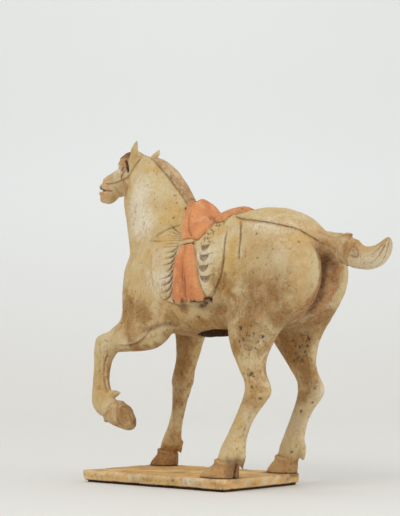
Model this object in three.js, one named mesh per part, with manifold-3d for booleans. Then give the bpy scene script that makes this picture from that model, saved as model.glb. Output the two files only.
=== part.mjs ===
// A painted earthenware tomb horse, prancing with its left foreleg raised, on a thin slab plinth.
// Millimetres. +X is forward (towards the head), +Y the horse's left, +Z up.
// The origin is the middle of the plinth's underside.
import * as THREE from "three";
import { mergeVertices } from "three/addons/utils/BufferGeometryUtils.js";
import Module from "manifold-3d";

const wasm = await Module();
wasm.setup();

// Driving dimensions
const horseHeight = 455; // from the soles to the tip of the left ear
const plinthThickness = 16;
const plinthCorner = 6; // radius of the plinth's upright corners
const plinthTaper = 3.5; // how far the underside stands in from the top, on every side
const plinthWear = 1.6; // worn bevel along the top edges
const frontMargin = 4.5; // plinth beyond the standing fore hoof
const rearMargin = 0.5; // plinth beyond the hind hooves
const sideMargin = 2.5; // plinth beyond the hooves, left and right
const ventLength = 84; // firing vent in the belly
const ventWidth = 44;
const ventDepth = 26;
const blanketThickness = 2.4; // saddle blanket over the body
const gatherCount = 7; // creases of the blanket ahead of the saddle cover
const gatherHeight = 1.6;
const coverThickness = 2.2; // tied saddle cover over the blanket
const foldHeight = 5.7; // bulge of the cover's hanging folds at the hem
const hemHollow = 4.5; // depth of the hollow under the rear fold's hem
const tieThickness = 4.4;
const pommelHeight = 39.5; // saddle bow above the back
const cantleHeight = 15.5; // rear of the seat above the back
const mouthGap = 2.6; // between the parted lips
const earChip = 8; // how much shorter the chipped right ear is

// The figure is written in 455ths of its height, so that it keeps its proportions.
const share = horseHeight / 455;

// A station is one ring of a limb: two opposite points of its outline in the side view,
// (ax, az) and (bx, bz) with z above the soles, the half width, and how far left its middle lies.
// "egg" above 0 narrows the ring towards point a, and "square" above 2 fills its corners.
const station = (ax, az, bx, bz, wide, y = 0, egg = 0, square = 2) => [
  ax, az, bx, bz, wide, y, egg, square,
];

const torso = [
  station(-232, 280, -232, 248, 15),
  station(-223, 309.5, -223, 224, 37),
  station(-201, 330.5, -201, 202, 55.5, 0, 0, 2.2),
  station(-172, 343.5, -172, 189, 63.5, 0, 0, 2.2),
  station(-138, 347.5, -138, 184, 66, 0, 0, 2.2),
  station(-100, 340, -100, 181.5, 66.5, 0, 0, 2.2),
  station(-60, 329, -60, 178.5, 65, 0, 0, 2.2),
  station(-20, 327, -20, 180, 63, 0, 0.06, 2.2),
  station(20, 327, 20, 184, 60, 0, 0.1, 2.2),
  station(56, 320, 56, 192, 55, 0, 0.1, 2.2),
  station(78, 308, 78, 206, 46, 0, 0, 2.1),
  station(93, 294, 93, 226, 30),
  station(100.5, 279, 100.5, 245, 12),
];

const neck = [
  station(-40, 302, 80, 208, 44, 0, 0.1),
  station(-28, 330, 91, 256, 43, 0, 0.2),
  station(-15, 353, 96, 292, 39, 0, 0.28),
  station(0, 370.5, 102, 326, 34.5, 0, 0.28),
  station(12, 389.5, 110, 352, 30.5, 0, 0.28),
  station(27, 409.5, 117, 372, 26.5, 0, 0.25),
  station(47, 424, 122, 386, 23.5, 0, 0.2),
  station(68, 432, 121, 394, 20.5, 0, 0.1),
  station(88, 432, 113, 404, 14),
];

const head = [
  station(64, 430, 96, 390, 15),
  station(76, 436.5, 106, 385, 19.5, 0, -0.05),
  station(91, 439, 115, 382, 22, 0, -0.08),
  station(105, 437, 124, 380.5, 22, 0, -0.1),
  station(117, 430, 131, 380.5, 19, 0, -0.1),
  station(128, 424, 137, 381.5, 15.5),
  station(140, 419.5, 142, 377.5, 13),
  station(150, 416.5, 149, 373.5, 12.5),
  station(158, 413, 157, 373.5, 12),
  station(166, 401.5, 163.5, 381, 8),
];

// The clipped mane along the crest, and the forelock over the brow.
const mane = [
  station(90, 437, 76, 418, 8, 0, 0, 3),
  station(72, 435, 66, 416, 9.5, 0, 0, 3),
  station(45.5, 427, 54, 408, 11, 0, 0, 3),
  station(24, 412, 36, 394, 12.3, 0, 0, 3),
  station(8, 391.5, 24, 378, 13, 0, 0, 3),
  station(-5.5, 370.5, 12, 358, 13.5, 0, 0, 3),
  station(-16.5, 352, 4, 340, 13.5, 0, 0, 3),
];

const forelock = [
  station(86, 440, 92, 422, 9),
  station(99, 445.5, 100, 422, 13.5, 0, 0, 2.6),
  station(111, 444, 105, 418, 14.8, 0, 0, 2.6),
  station(122, 438.5, 111, 414, 14, 0, 0, 2.6),
  station(129, 430, 117, 412, 10.5),
  station(130, 423, 121, 412, 6.5),
];

// The tail: bound as far as its knot, then a loose brush.
const tail = [
  station(-204, 312, -212, 270, 12),
  station(-226, 311, -236, 272, 15.5),
  station(-243, 309, -250, 268.5, 16),
  station(-258, 306.5, -263, 265.5, 16.5),
  station(-271, 300.5, -272, 262, 16.5),
  station(-274.5, 297.5, -275, 261.5, 14.5),
  station(-290, 288.5, -291.5, 258, 14),
  station(-303, 287.5, -309, 260.5, 14.5),
  station(-313, 292, -322, 273, 13),
  station(-319.5, 297.5, -328, 287.5, 9),
  station(-323, 300.5, -327, 297.5, 4),
];

// The hind leg, from the croup to the pastern.
const hindLeg = [
  station(-128, 312, -188, 310, 20, 24),
  station(-109, 288, -222, 298, 33, 25, 0, 2.2),
  station(-101, 254, -239, 270, 39, 26, 0, 2.2),
  station(-98, 222, -235, 240, 36.5, 30, 0, 2.2),
  station(-103, 196, -216, 214, 30, 37),
  station(-111, 174, -187.5, 184, 22.5, 44),
  station(-122, 154, -173.5, 158, 17, 48),
  station(-134, 134, -170.5, 138, 13, 50),
  station(-141.2, 120, -176.3, 123, 12.5, 51),
  station(-140.5, 106, -181.7, 109, 12.5, 52),
  station(-135.5, 92, -172.6, 96, 11.5, 53),
  station(-127.5, 76, -159, 80, 10, 54),
  station(-119.5, 61, -150, 64, 10, 55),
  station(-112, 46, -144.5, 48, 12, 56.5),
  station(-105, 35, -142, 34, 13.5, 57.5),
  station(-100, 27, -134, 20, 13.6, 58),
  station(-101, 22, -129, 12, 12.5, 58),
];

// The standing foreleg, from the shoulder to the pastern.
const foreLeg = [
  station(76, 272, 6, 288, 18, 34),
  station(76, 242, -6, 248, 21, 36),
  station(73, 216, -4, 216, 20.5, 39),
  station(63, 194, 5, 190, 18, 42),
  station(59, 174, 15, 172, 15.7, 44),
  station(61, 152, 25.5, 150, 13.8, 46),
  station(67, 134, 34.3, 133, 13.4, 48),
  station(72.3, 120, 37.5, 118, 14, 49.5),
  station(72.3, 106, 44, 104, 12, 50.5),
  station(74.3, 88, 52.7, 86, 9.6, 52.5),
  station(80, 70, 60, 68, 9.2, 54.5),
  station(87.5, 54, 65.5, 52, 10.2, 56.5),
  station(95.5, 40, 68, 38, 12.2, 58),
  station(106, 29, 73.5, 22, 13, 59),
  station(106, 22, 78, 12, 12, 59),
];

// The raised foreleg: forearm forward, cannon hanging, pastern bent back.
const raisedLeg = [
  station(85.5, 270, 4, 288, 18, 34),
  station(87.5, 240, -10, 250, 22.5, 37.5),
  station(82.5, 216, -16, 212, 24.5, 40),
  station(85.5, 198, -4, 179.5, 23, 43),
  station(96, 190.5, 22, 163.8, 19, 45),
  station(106, 187.8, 50, 160.6, 16, 46),
  station(116.5, 186, 76, 160.5, 14, 46),
  station(126, 182.7, 91, 159, 13.5, 46),
  station(130.7, 172, 97.5, 153.5, 12.8, 46),
  station(131.7, 155, 103, 146, 10.8, 46),
  station(132.8, 134, 107, 131.5, 9.6, 46),
  station(135, 115, 106.5, 117, 10, 46),
  station(136, 97, 103.5, 104, 12, 46),
  station(132, 82.5, 99.5, 99, 12.5, 46),
  station(120.5, 73, 95, 96, 12.5, 46),
  station(112, 70, 91, 92, 11.5, 46),
];

// Hooves, from inside the pastern to the sole.
const hindHoof = [
  station(-100, 30, -131, 20, 11, 58),
  station(-95, 26.5, -132.5, 17, 15, 58),
  station(-85, 0, -128.5, 0, 18, 58, 0.1, 2.6),
];

const foreHoof = [
  station(105, 30, 76, 17, 11, 59),
  station(109.5, 26.5, 75, 13, 14.8, 59),
  station(120, 0, 79, 0, 17.5, 59, 0.1, 2.6),
];

const raisedHoof = [
  station(113, 72, 93, 94, 11, 46),
  station(110.5, 66.5, 92.5, 95.5, 14, 46),
  station(93, 59, 84, 93.5, 16, 46),
  station(70, 53.5, 72.5, 88, 16.5, 46, 0.05, 2.3),
];

// Edges of things laid over the back. Turns are degrees above the horizontal, about the
// trunk's middle line, and "high" is a share of the full height.
const edge = (turn, front, rear, high = 1) => ({ turn, front, rear, high });
const pommelEdges = [
  edge(35, -38, -56, 0.06),
  edge(41, -33, -63, 0.13),
  edge(50, -27, -70, 0.23),
  edge(60, -19, -73, 0.36),
  edge(70, -13, -67, 0.6),
  edge(80, -9, -56, 0.87),
  edge(90, -8, -48.5, 1),
];
const cantleEdges = [
  edge(64, -76, -96, 0.15),
  edge(67, -63, -103, 0.45),
  edge(74, -51, -107, 0.74),
  edge(82, -44, -108, 0.94),
  edge(90, -41, -108, 1),
];
const blanketEdges = [
  edge(-37, -45, -62),
  edge(-34, -30, -76),
  edge(-29, -14, -88),
  edge(-22, -3, -98),
  edge(-14, 3, -105),
  edge(-3, 8, -113),
  edge(8, 11, -116),
  edge(18, 13.5, -117),
  edge(30, 19, -116),
  edge(40, 25, -114),
  edge(50, 31, -111),
  edge(56, 20, -109),
  edge(62, 6, -108),
  edge(68, -8, -107),
  edge(79, -12, -106),
  edge(90, -13, -106),
];
const coverEdges = [
  edge(-31, -26, -88.5),
  edge(-26, -25.5, -87),
  edge(-19, -27, -82.5),
  edge(-11, -28.5, -78.5),
  edge(-2, -28.5, -76),
  edge(8, -28.5, -73.5),
  edge(18, -29, -69.5),
  edge(27, -32, -65),
  edge(37, -36, -59),
];

// Cross sections of the saddle bow and of the seat: share of the way from the front edge to
// the rear edge, and share of the height; the last points are sunk into the body.
const pommelSection = [
  [0, 0.1], [0.01, 0.7], [0.08, 0.9], [0.15, 0.84], [0.27, 1], [0.44, 1], [0.62, 0.83], [0.82, 0.48],
  [1, 0.1], [0.8, -0.1], [0.2, -0.1],
];
const seatSection = [
  [0, 0], [0.06, 0.52], [0.2, 0.86], [0.42, 1], [0.62, 0.99], [0.84, 0.8], [0.97, 0.5],
  [1, 0], [0.8, -0.2], [0.2, -0.2],
];

const axisHeight = 259; // the trunk's middle line, above the soles
const creaseShare = 0.4; // where the cover's two folds meet, from its front edge
const lowestGather = -30;
const highestGather = 50;

const place = (x, y, z) => new THREE.Vector3(x, y, z).multiplyScalar(share);

// A ring of points around one station.
function ringOf([ax, az, bx, bz, wide, y, egg, square], sides) {
  const middle = place((ax + bx) / 2, y, (az + bz) / 2);
  const towardsA = place((ax - bx) / 2, 0, (az - bz) / 2);
  const points = [];
  for (let i = 0; i < sides; i++) {
    const turn = (2 * Math.PI * i) / sides;
    const c = Math.cos(turn);
    const s = Math.sin(turn);
    const outwards = Math.sign(s) * Math.abs(s) ** (2 / square);
    const upwards = Math.sign(c) * Math.abs(c) ** (2 / square);
    const half = wide * share * (1 - egg * c) * outwards;
    points.push(middle.clone().addScaledVector(towardsA, upwards).add(new THREE.Vector3(0, half, 0)));
  }
  return points;
}

// Rows in between, on a smooth curve through those given.
function between(rows, steps) {
  const at = (i) => rows[Math.min(Math.max(i, 0), rows.length - 1)];
  const smooth = [];
  for (let i = 0; i < rows.length - 1; i++)
    for (let k = 0; k < steps; k++) {
      const t = k / steps;
      smooth.push(
        at(i).map((_, j) => {
          const [p, q, r, s] = [at(i - 1)[j], at(i)[j], at(i + 1)[j], at(i + 2)[j]];
          return q + 0.5 * t * (r - p + t * (2 * p - 5 * q + 4 * r - s + t * (3 * (q - r) + s - p)));
        }),
      );
    }
  smooth.push(at(rows.length - 1));
  return smooth;
}

// The front and rear edge at any turn, between those given.
function edgesAt(edges, turn) {
  const last = Math.max(1, edges.findIndex((one) => one.turn >= turn));
  const [a, b] = [edges[last - 1], edges[last]];
  const t = (turn - a.turn) / (b.turn - a.turn);
  return { turn, front: a.front + (b.front - a.front) * t, rear: a.rear + (b.rear - a.rear) * t };
}

// A closed skin over rings of equal count, each end closed by a fan.
function skin(rings) {
  const sides = rings[0].length;
  const points = rings.flat();
  const faces = [];
  rings.slice(1).forEach((_, row) => {
    for (let i = 0; i < sides; i++) {
      const j = (i + 1) % sides;
      const [a, b] = [row * sides + i, row * sides + j];
      faces.push(a, b, b + sides, a, b + sides, a + sides);
    }
  });
  [0, rings.length - 1].forEach((row) => {
    const centre = new THREE.Vector3();
    rings[row].forEach((p) => centre.addScaledVector(p, 1 / sides));
    points.push(centre);
    for (let i = 0; i < sides; i++) {
      const [a, b] = [row * sides + i, row * sides + ((i + 1) % sides)];
      faces.push(...(row ? [a, b, points.length - 1] : [b, a, points.length - 1]));
    }
  });
  return new THREE.BufferGeometry().setFromPoints(points).setIndex(faces);
}

// A sheet between an outer and an inner grid of points, closed around its border.
function sheet(outer, inner) {
  const [rows, columns] = [outer.length, outer[0].length];
  const under = rows * columns;
  const faces = [];
  const quad = (a, b, c, d) => faces.push(a, b, c, a, c, d);
  for (let i = 0; i < rows - 1; i++)
    for (let j = 0; j < columns - 1; j++) {
      const a = i * columns + j;
      quad(a, a + columns, a + columns + 1, a + 1);
      quad(under + a, under + a + 1, under + a + columns + 1, under + a + columns);
    }
  const wall = (a, b) => quad(b, a, under + a, under + b);
  for (let i = 0; i < rows - 1; i++) {
    wall(i * columns, (i + 1) * columns);
    wall((i + 2) * columns - 1, (i + 1) * columns - 1);
  }
  for (let j = 0; j < columns - 1; j++) {
    wall(j + 1, j);
    wall((rows - 1) * columns + j, (rows - 1) * columns + j + 1);
  }
  return new THREE.BufferGeometry().setFromPoints([...outer.flat(), ...inner.flat()]).setIndex(faces);
}

// A geometry as a solid that can be joined and cut, whichever way its faces were wound.
function solidOf(geometry) {
  const bare = geometry.clone();
  bare.deleteAttribute("normal");
  bare.deleteAttribute("uv");
  const merged = mergeVertices(bare, 1e-4);
  const make = (corners) =>
    new wasm.Manifold(new wasm.Mesh({
      numProp: 3,
      vertProperties: new Float32Array(merged.attributes.position.array),
      triVerts: new Uint32Array(corners),
    }));
  const corners = Array.from(merged.index.array);
  const solid = make(corners);
  return solid.volume() > 0 ? solid : make(corners.reverse());
}

function geometryOf(solid) {
  const { vertProperties, triVerts } = solid.getMesh();
  const geometry = new THREE.BufferGeometry();
  geometry.setAttribute("position", new THREE.BufferAttribute(new Float32Array(vertProperties), 3));
  geometry.setIndex(new THREE.BufferAttribute(new Uint32Array(triVerts), 1));
  const flat = geometry.toNonIndexed();
  flat.computeVertexNormals();
  return flat;
}

const joined = (solids) => solids.reduce((all, one) => all.add(one));
const limb = (stations, sides, steps = 2) =>
  solidOf(skin(between(stations, steps).map((one) => ringOf(one, sides))));
const swapSides = (stations) => stations.map((one) => one.map((value, i) => (i === 5 ? -value : value)));

// The right hind leg stands further back and further out from the hock down.
const astride = (stations, back, out) =>
  stations.map(([ax, az, bx, bz, wide, y, ...rest]) => {
    const part = (z) => Math.min(1, Math.max(0, (230 - z) / 130));
    return [ax - back * part(az), az, bx - back * part(bz), bz, wide, y + out * part(az), ...rest];
  });

// A rounded lump, turned nose down by the tilt in degrees.
function lump(x, y, z, rx, ry, rz, tilt = 0) {
  const ball = new THREE.SphereGeometry(share, 8, 5);
  ball.scale(rx, ry, rz).rotateY((tilt * Math.PI) / 180).translate(x * share, y * share, z * share);
  return solidOf(ball);
}

// A tapering spike between two points.
function spike(from, to, radius, flat = 1) {
  const along = to.clone().sub(from);
  const cone = new THREE.CylinderGeometry(radius * share * 0.16, radius * share, along.length(), 8, 2);
  const middle = cone.attributes.position;
  for (let i = 0; i < middle.count; i++)
    if (Math.abs(middle.getY(i)) < 0.01)
      middle.setXYZ(i, middle.getX(i) * 1.55, 0, middle.getZ(i) * 1.55);
  cone.scale(1, 1, flat).translate(0, along.length() / 2, 0);
  cone.applyQuaternion(
    new THREE.Quaternion().setFromUnitVectors(new THREE.Vector3(0, 1, 0), along.clone().normalize()),
  );
  cone.translate(from.x, from.y, from.z);
  return solidOf(cone);
}

// A round cord along points, thinning out at both ends.
function cord(points, radius, sides = 7) {
  const curve = new THREE.CatmullRomCurve3(points);
  const rings = points.map((_, i) => {
    const t = i / (points.length - 1);
    const along = curve.getTangent(t);
    const across = new THREE.Vector3(0, 0, 1).cross(along).normalize();
    const other = along.clone().cross(across);
    const thick = radius * (t === 0 || t === 1 ? 0.4 : 1);
    return Array.from({ length: sides }, (__, k) => {
      const turn = (2 * Math.PI * k) / sides;
      return curve
        .getPoint(t)
        .addScaledVector(across, thick * Math.cos(turn))
        .addScaledVector(other, thick * Math.sin(turn));
    });
  });
  return solidOf(skin(rings));
}

const trunk = joined([
  limb(torso, 20),
  limb(hindLeg, 12),
  limb(swapSides(astride(hindLeg, 5, 2.5)), 12),
  limb(swapSides(foreLeg), 10),
  limb(raisedLeg, 10),
]);

const bothFaces = new THREE.MeshBasicMaterial({ side: THREE.DoubleSide });
const measured = new THREE.Mesh(geometryOf(trunk), bothFaces);
const caster = new THREE.Raycaster();
const sunkBy = 4 * share; // how far the underside of cloths lies in the body

// The point lifted off the trunk's skin, at x and at a turn about its middle line.
function onTrunk(x, turn, lift) {
  const angle = (turn * Math.PI) / 180;
  const outwards = new THREE.Vector3(0, Math.cos(angle), Math.sin(angle));
  const axis = place(x, 0, axisHeight);
  caster.set(axis, outwards);
  return axis.addScaledVector(outwards, caster.intersectObject(measured)[0].distance + lift);
}

const bothSides = (rows) => [
  ...rows,
  ...rows.slice(0, -1).reverse().map((row) => ({ ...row, turn: 180 - row.turn, other: row.turn })),
];

// A bow over the back, its cross section growing and sinking with its edges.
function bow(edges, section, height) {
  const lift = (up, high) => (up < 0 ? up * 10 * sunkBy : blanketThickness + up * height * high);
  const rings = bothSides(edges).map(({ turn, front, rear, high }) =>
    section.map(([along, up]) => onTrunk(front + (rear - front) * along, turn, lift(up, high))));
  return solidOf(skin(rings));
}

// Two hanging folds side by side, rounded across and growing towards the hem.
function foldLift(u, turn) {
  const w = u < creaseShare ? u / creaseShare : (u - creaseShare) / (1 - creaseShare);
  const drop = (coverEdges.at(-1).turn - turn) / (coverEdges.at(-1).turn - coverEdges[0].turn);
  return coverThickness + (0.3 + 0.7 * drop) * foldHeight * (1 - Math.abs(2 * w - 1) ** 2.2);
}

// The blanket over the back with the cover's folds on it: one sheet whose rows run forward,
// every second one of them a crease ahead of the cover.
const hemTurn = coverEdges[0].turn;
const gatherTurns = Array.from({ length: 2 * gatherCount + 1 }, (_, i) =>
  lowestGather + ((highestGather - lowestGather) * i) / (2 * gatherCount));
const sheetTurns = [-37, -34, hemTurn - 0.6, ...gatherTurns, 56, 62, 68, 79, 90];
const isRaised = (i) => i > 3 && i < 2 * gatherCount + 3 && i % 2 === 0;
const sheetRows = bothSides(
  sheetTurns.map((turn, i) => ({ turn, raised: isRaised(i) ? gatherHeight : 0 })),
);
const coverColumns = [0, 0.12, 0.28, creaseShare, 0.52, 0.72, 0.9, 1];
function clothRow({ turn, other = turn, raised }, sunk) {
  const { front, rear } = edgesAt(blanketEdges, other);
  const covered = other >= hemTurn && other <= coverEdges.at(-1).turn;
  const cover = edgesAt(coverEdges, Math.min(Math.max(other, hemTurn), coverEdges.at(-1).turn));
  const [near, far] = [Math.min(cover.front, front - 3), Math.max(cover.rear, rear + 3)];
  const side = turn === other ? 1 : -1;
  const at = (x, lift, droop = 0) =>
    onTrunk(x, turn - side * droop, sunk ? -sunkBy : blanketThickness + lift);
  return [
    ...[0, 0.35, 0.85].map((u) => at(front + (near - front) * u, raised * Math.min(1, 3 * u), 5 * (1 - u))),
    at(near + 0.8, 0),
    ...coverColumns.map((u) => at(near + (far - near) * u, covered ? foldLift(u, other) : 0)),
    at(far - 0.8, 0),
    at((far + rear) / 2, 0),
    at(rear, 0),
  ];
}
const cloths = solidOf(sheet(
  sheetRows.map((row) => clothRow(row, false)),
  sheetRows.map((row) => clothRow(row, true)),
));
const tieHeight = blanketThickness + coverThickness;
const tie = cord([-30, -36, -47, -58, -64].map((x) => onTrunk(x, 37, tieHeight)), tieThickness / 2);
const hollow = lump(-69, 66, 218.5, 8, 3 + hemHollow / share, 5);
const saddle = joined([
  cloths,
  bow(pommelEdges, pommelSection, pommelHeight - blanketThickness),
  bow(cantleEdges, seatSection, cantleHeight - blanketThickness),
  tie,
  tie.mirror([0, 1, 0]),
]).subtract(hollow).subtract(hollow.mirror([0, 1, 0]));

// The tip of an unchipped ear is at the full height.
const ear = (side, chip) =>
  spike(
    place(93.5, side * 15, 420),
    place(76, side * 24, 455).addScaledVector(place(-0.45, 0, 1).normalize(), -chip),
    6.8,
    0.7,
  );
const skull = joined([
  limb(neck, 16),
  limb(head, 14),
  limb(mane, 8, 1),
  limb(forelock, 10, 1),
  ear(1, 0),
  ear(-1, earChip),
  ...[1, -1].flatMap((side) => [
    lump(101, side * 9, 404, 19, 12.5, 18), // cheek
    lump(111, side * 15, 426, 9, 6.5, 7, 35), // brow
    lump(106, side * 18, 418, 6, 5.6, 4.2, 30), // eye
    lump(155.5, side * 7.5, 405.5, 5.5, 5, 5), // nostril
    lump(157, side * 4, 379.8, 7.8, 7, 5.8), // lower lip
  ]),
]);

const mouth = new THREE.BoxGeometry(16 * share, 60 * share, mouthGap)
  .rotateY(0.2)
  .translate(164 * share, 0, 393 * share);
const vent = new THREE.CylinderGeometry(1, 1, ventDepth * 2, 20)
  .rotateX(Math.PI / 2)
  .scale(ventLength / 2, ventWidth / 2, 1)
  .translate(-72 * share, 10 * share, 181 * share);

const figure = joined([
  trunk,
  skull,
  limb(tail, 12, 1),
  lump(-262, 0, 305.5, 9.5, 9, 4.5, 12), // the knot of the tail's binding
  limb(hindHoof, 14, 1),
  limb(swapSides(astride(hindHoof, 3, 3)), 14, 1),
  limb(swapSides(foreHoof), 14, 1),
  limb(raisedHoof, 14, 1),
  // tufts behind the fetlocks
  spike(place(-140, 57, 36), place(-142, 58, 17), 5),
  spike(place(-145, -59, 36), place(-149, -60, 21), 5),
  spike(place(72, -59, 30), place(66, -59, 19), 5),
  spike(place(106, 46, 101.5), place(82, 46, 105), 6),
  saddle,
]).subtract(solidOf(mouth)).subtract(solidOf(vent));

// The plinth reaches past the soles by its margins, and the origin is below its middle.
const soleOf = (stations) => stations.at(-1);
const hindSoles = [soleOf(hindHoof), soleOf(astride(hindHoof, 3, 3))];
const foreSole = soleOf(foreHoof);
const rearEnd = Math.min(...hindSoles.map((sole) => sole[2])) * share - rearMargin;
const frontEnd = foreSole[0] * share + frontMargin;
const outermost = Math.max(...[...hindSoles, foreSole].map((sole) => sole[5] + sole[4]));
const halfWidth = outermost * share + sideMargin;
const halfLength = (frontEnd - rearEnd) / 2;

function outline(inset, z) {
  const points = [];
  const arc = 4;
  for (const [corner, [sx, sy]] of [[1, 1], [-1, 1], [-1, -1], [1, -1]].entries())
    for (let k = 0; k <= arc; k++) {
      const turn = ((corner + k / arc) * Math.PI) / 2;
      points.push(new THREE.Vector3(
        sx * (halfLength - inset - plinthCorner) + plinthCorner * Math.cos(turn),
        sy * (halfWidth - inset - plinthCorner) + plinthCorner * Math.sin(turn),
        z,
      ));
    }
  return points;
}
const slab = solidOf(skin([
  outline(plinthTaper, 0),
  outline(0, plinthThickness - plinthWear),
  outline(plinthWear, plinthThickness),
]));

const colours = { horse: 0xcbb083, plinth: 0xc39a63 };
const pieces = {
  horse: geometryOf(figure).translate(-(frontEnd + rearEnd) / 2, 0, plinthThickness),
  plinth: geometryOf(slab),
};
const group = new THREE.Group();
for (const [name, geometry] of Object.entries(pieces)) {
  const clay = new THREE.MeshStandardMaterial({ color: colours[name], roughness: 0.9, metalness: 0 });
  const mesh = new THREE.Mesh(geometry, clay);
  mesh.name = name;
  group.add(mesh);
}

export default group;
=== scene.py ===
# A painted earthenware tomb horse on its slab plinth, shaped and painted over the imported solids.
# Shapes are worked in millimetres and turned into metres at the end.
import math
import bpy
import bmesh
import numpy as np
from mathutils import Matrix, Vector


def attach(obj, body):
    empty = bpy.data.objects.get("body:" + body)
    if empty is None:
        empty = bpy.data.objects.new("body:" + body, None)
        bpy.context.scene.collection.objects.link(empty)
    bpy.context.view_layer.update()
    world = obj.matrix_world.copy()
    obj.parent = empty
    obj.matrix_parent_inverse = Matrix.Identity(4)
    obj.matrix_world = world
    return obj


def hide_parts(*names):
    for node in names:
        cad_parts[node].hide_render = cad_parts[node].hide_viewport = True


print("stage: camera and frame")

viewpoint = {
    "place": (-1.25662, 1.42617, 0.16010),
    "heading": 0.85512,  # radians to the right of +X
    "tilt": 0.07546,  # radians upwards
    "lens": 97.67,
}


def addCamera():
    data = bpy.data.cameras.new("photoCamera")
    data.lens = viewpoint["lens"]
    data.clip_end = 30
    camera = bpy.data.objects.new("photoCamera", data)
    bpy.context.scene.collection.objects.link(camera)
    turn, tilt = viewpoint["heading"], viewpoint["tilt"]
    ahead = Vector((math.cos(turn) * math.cos(tilt), -math.sin(turn) * math.cos(tilt), math.sin(tilt)))
    right = ahead.cross(Vector((0, 0, 1))).normalized()
    up = right.cross(ahead)
    turned = Matrix((right, up, -ahead)).transposed().to_4x4()
    camera.matrix_world = Matrix.Translation(viewpoint["place"]) @ turned
    bpy.context.scene.camera = camera


addCamera()
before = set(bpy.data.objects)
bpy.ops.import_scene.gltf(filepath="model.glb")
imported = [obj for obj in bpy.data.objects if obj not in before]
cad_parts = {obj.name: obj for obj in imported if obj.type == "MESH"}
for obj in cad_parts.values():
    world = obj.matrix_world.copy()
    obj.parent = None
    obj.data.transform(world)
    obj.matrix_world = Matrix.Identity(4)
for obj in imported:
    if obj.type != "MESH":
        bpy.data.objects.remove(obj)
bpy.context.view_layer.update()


# Shared tools for shaping

def meshCopy(node, name):
    mesh = node.data.copy()
    mesh.name = name
    work = bmesh.new()
    work.from_mesh(mesh)
    bmesh.ops.remove_doubles(work, verts=work.verts, dist=1e-6)
    work.to_mesh(mesh)
    work.free()
    mesh.materials.clear()
    return mesh


def link(name, mesh):
    piece = bpy.data.objects.new(name, mesh)
    bpy.context.scene.collection.objects.link(piece)
    return piece


# Runs one modifier over a mesh and gives back the plain result.
def through(mesh, kind, **settings):
    holder = link("holder", mesh)
    modifier = holder.modifiers.new("step", kind)
    for key, value in settings.items():
        setattr(modifier, key, value)
    depsgraph = bpy.context.evaluated_depsgraph_get()
    result = bpy.data.meshes.new_from_object(holder.evaluated_get(depsgraph))
    bpy.data.objects.remove(holder)
    bpy.data.meshes.remove(mesh)
    return result


def triangleCount(mesh):
    sizes = np.empty(len(mesh.polygons), np.int32)
    mesh.polygons.foreach_get("loop_total", sizes)
    return int((sizes - 2).sum())


# A bell-shaped bump around zero
def bell(away, width):
    return np.exp(-((away / width) ** 2))


# The same in two directions at once
def mound(away, width, other, otherWidth):
    return np.exp(-((away / width) ** 2) - ((other / otherWidth) ** 2))


def smoothStep(value, low, high):
    t = np.clip((value - low) / (high - low), 0, 1)
    return t * t * (3 - 2 * t)


# Four colour attributes carry twelve paint masks: red, green and blue of each are one mask. Some masks carry
# painted shade and a painted highlight as well as paint.
carriers = {
    "coats": ("salmon", "blanket", "hair"),
    "marks": ("line", "leaf", "pink"),
    "stainsLightAndShade": ("slipAndHighlight", "ochre", "dirtAndShade"),
    "shadeAndWear": ("shadeAndDarkPaint", "hollowShade", "worn"),
}


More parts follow.
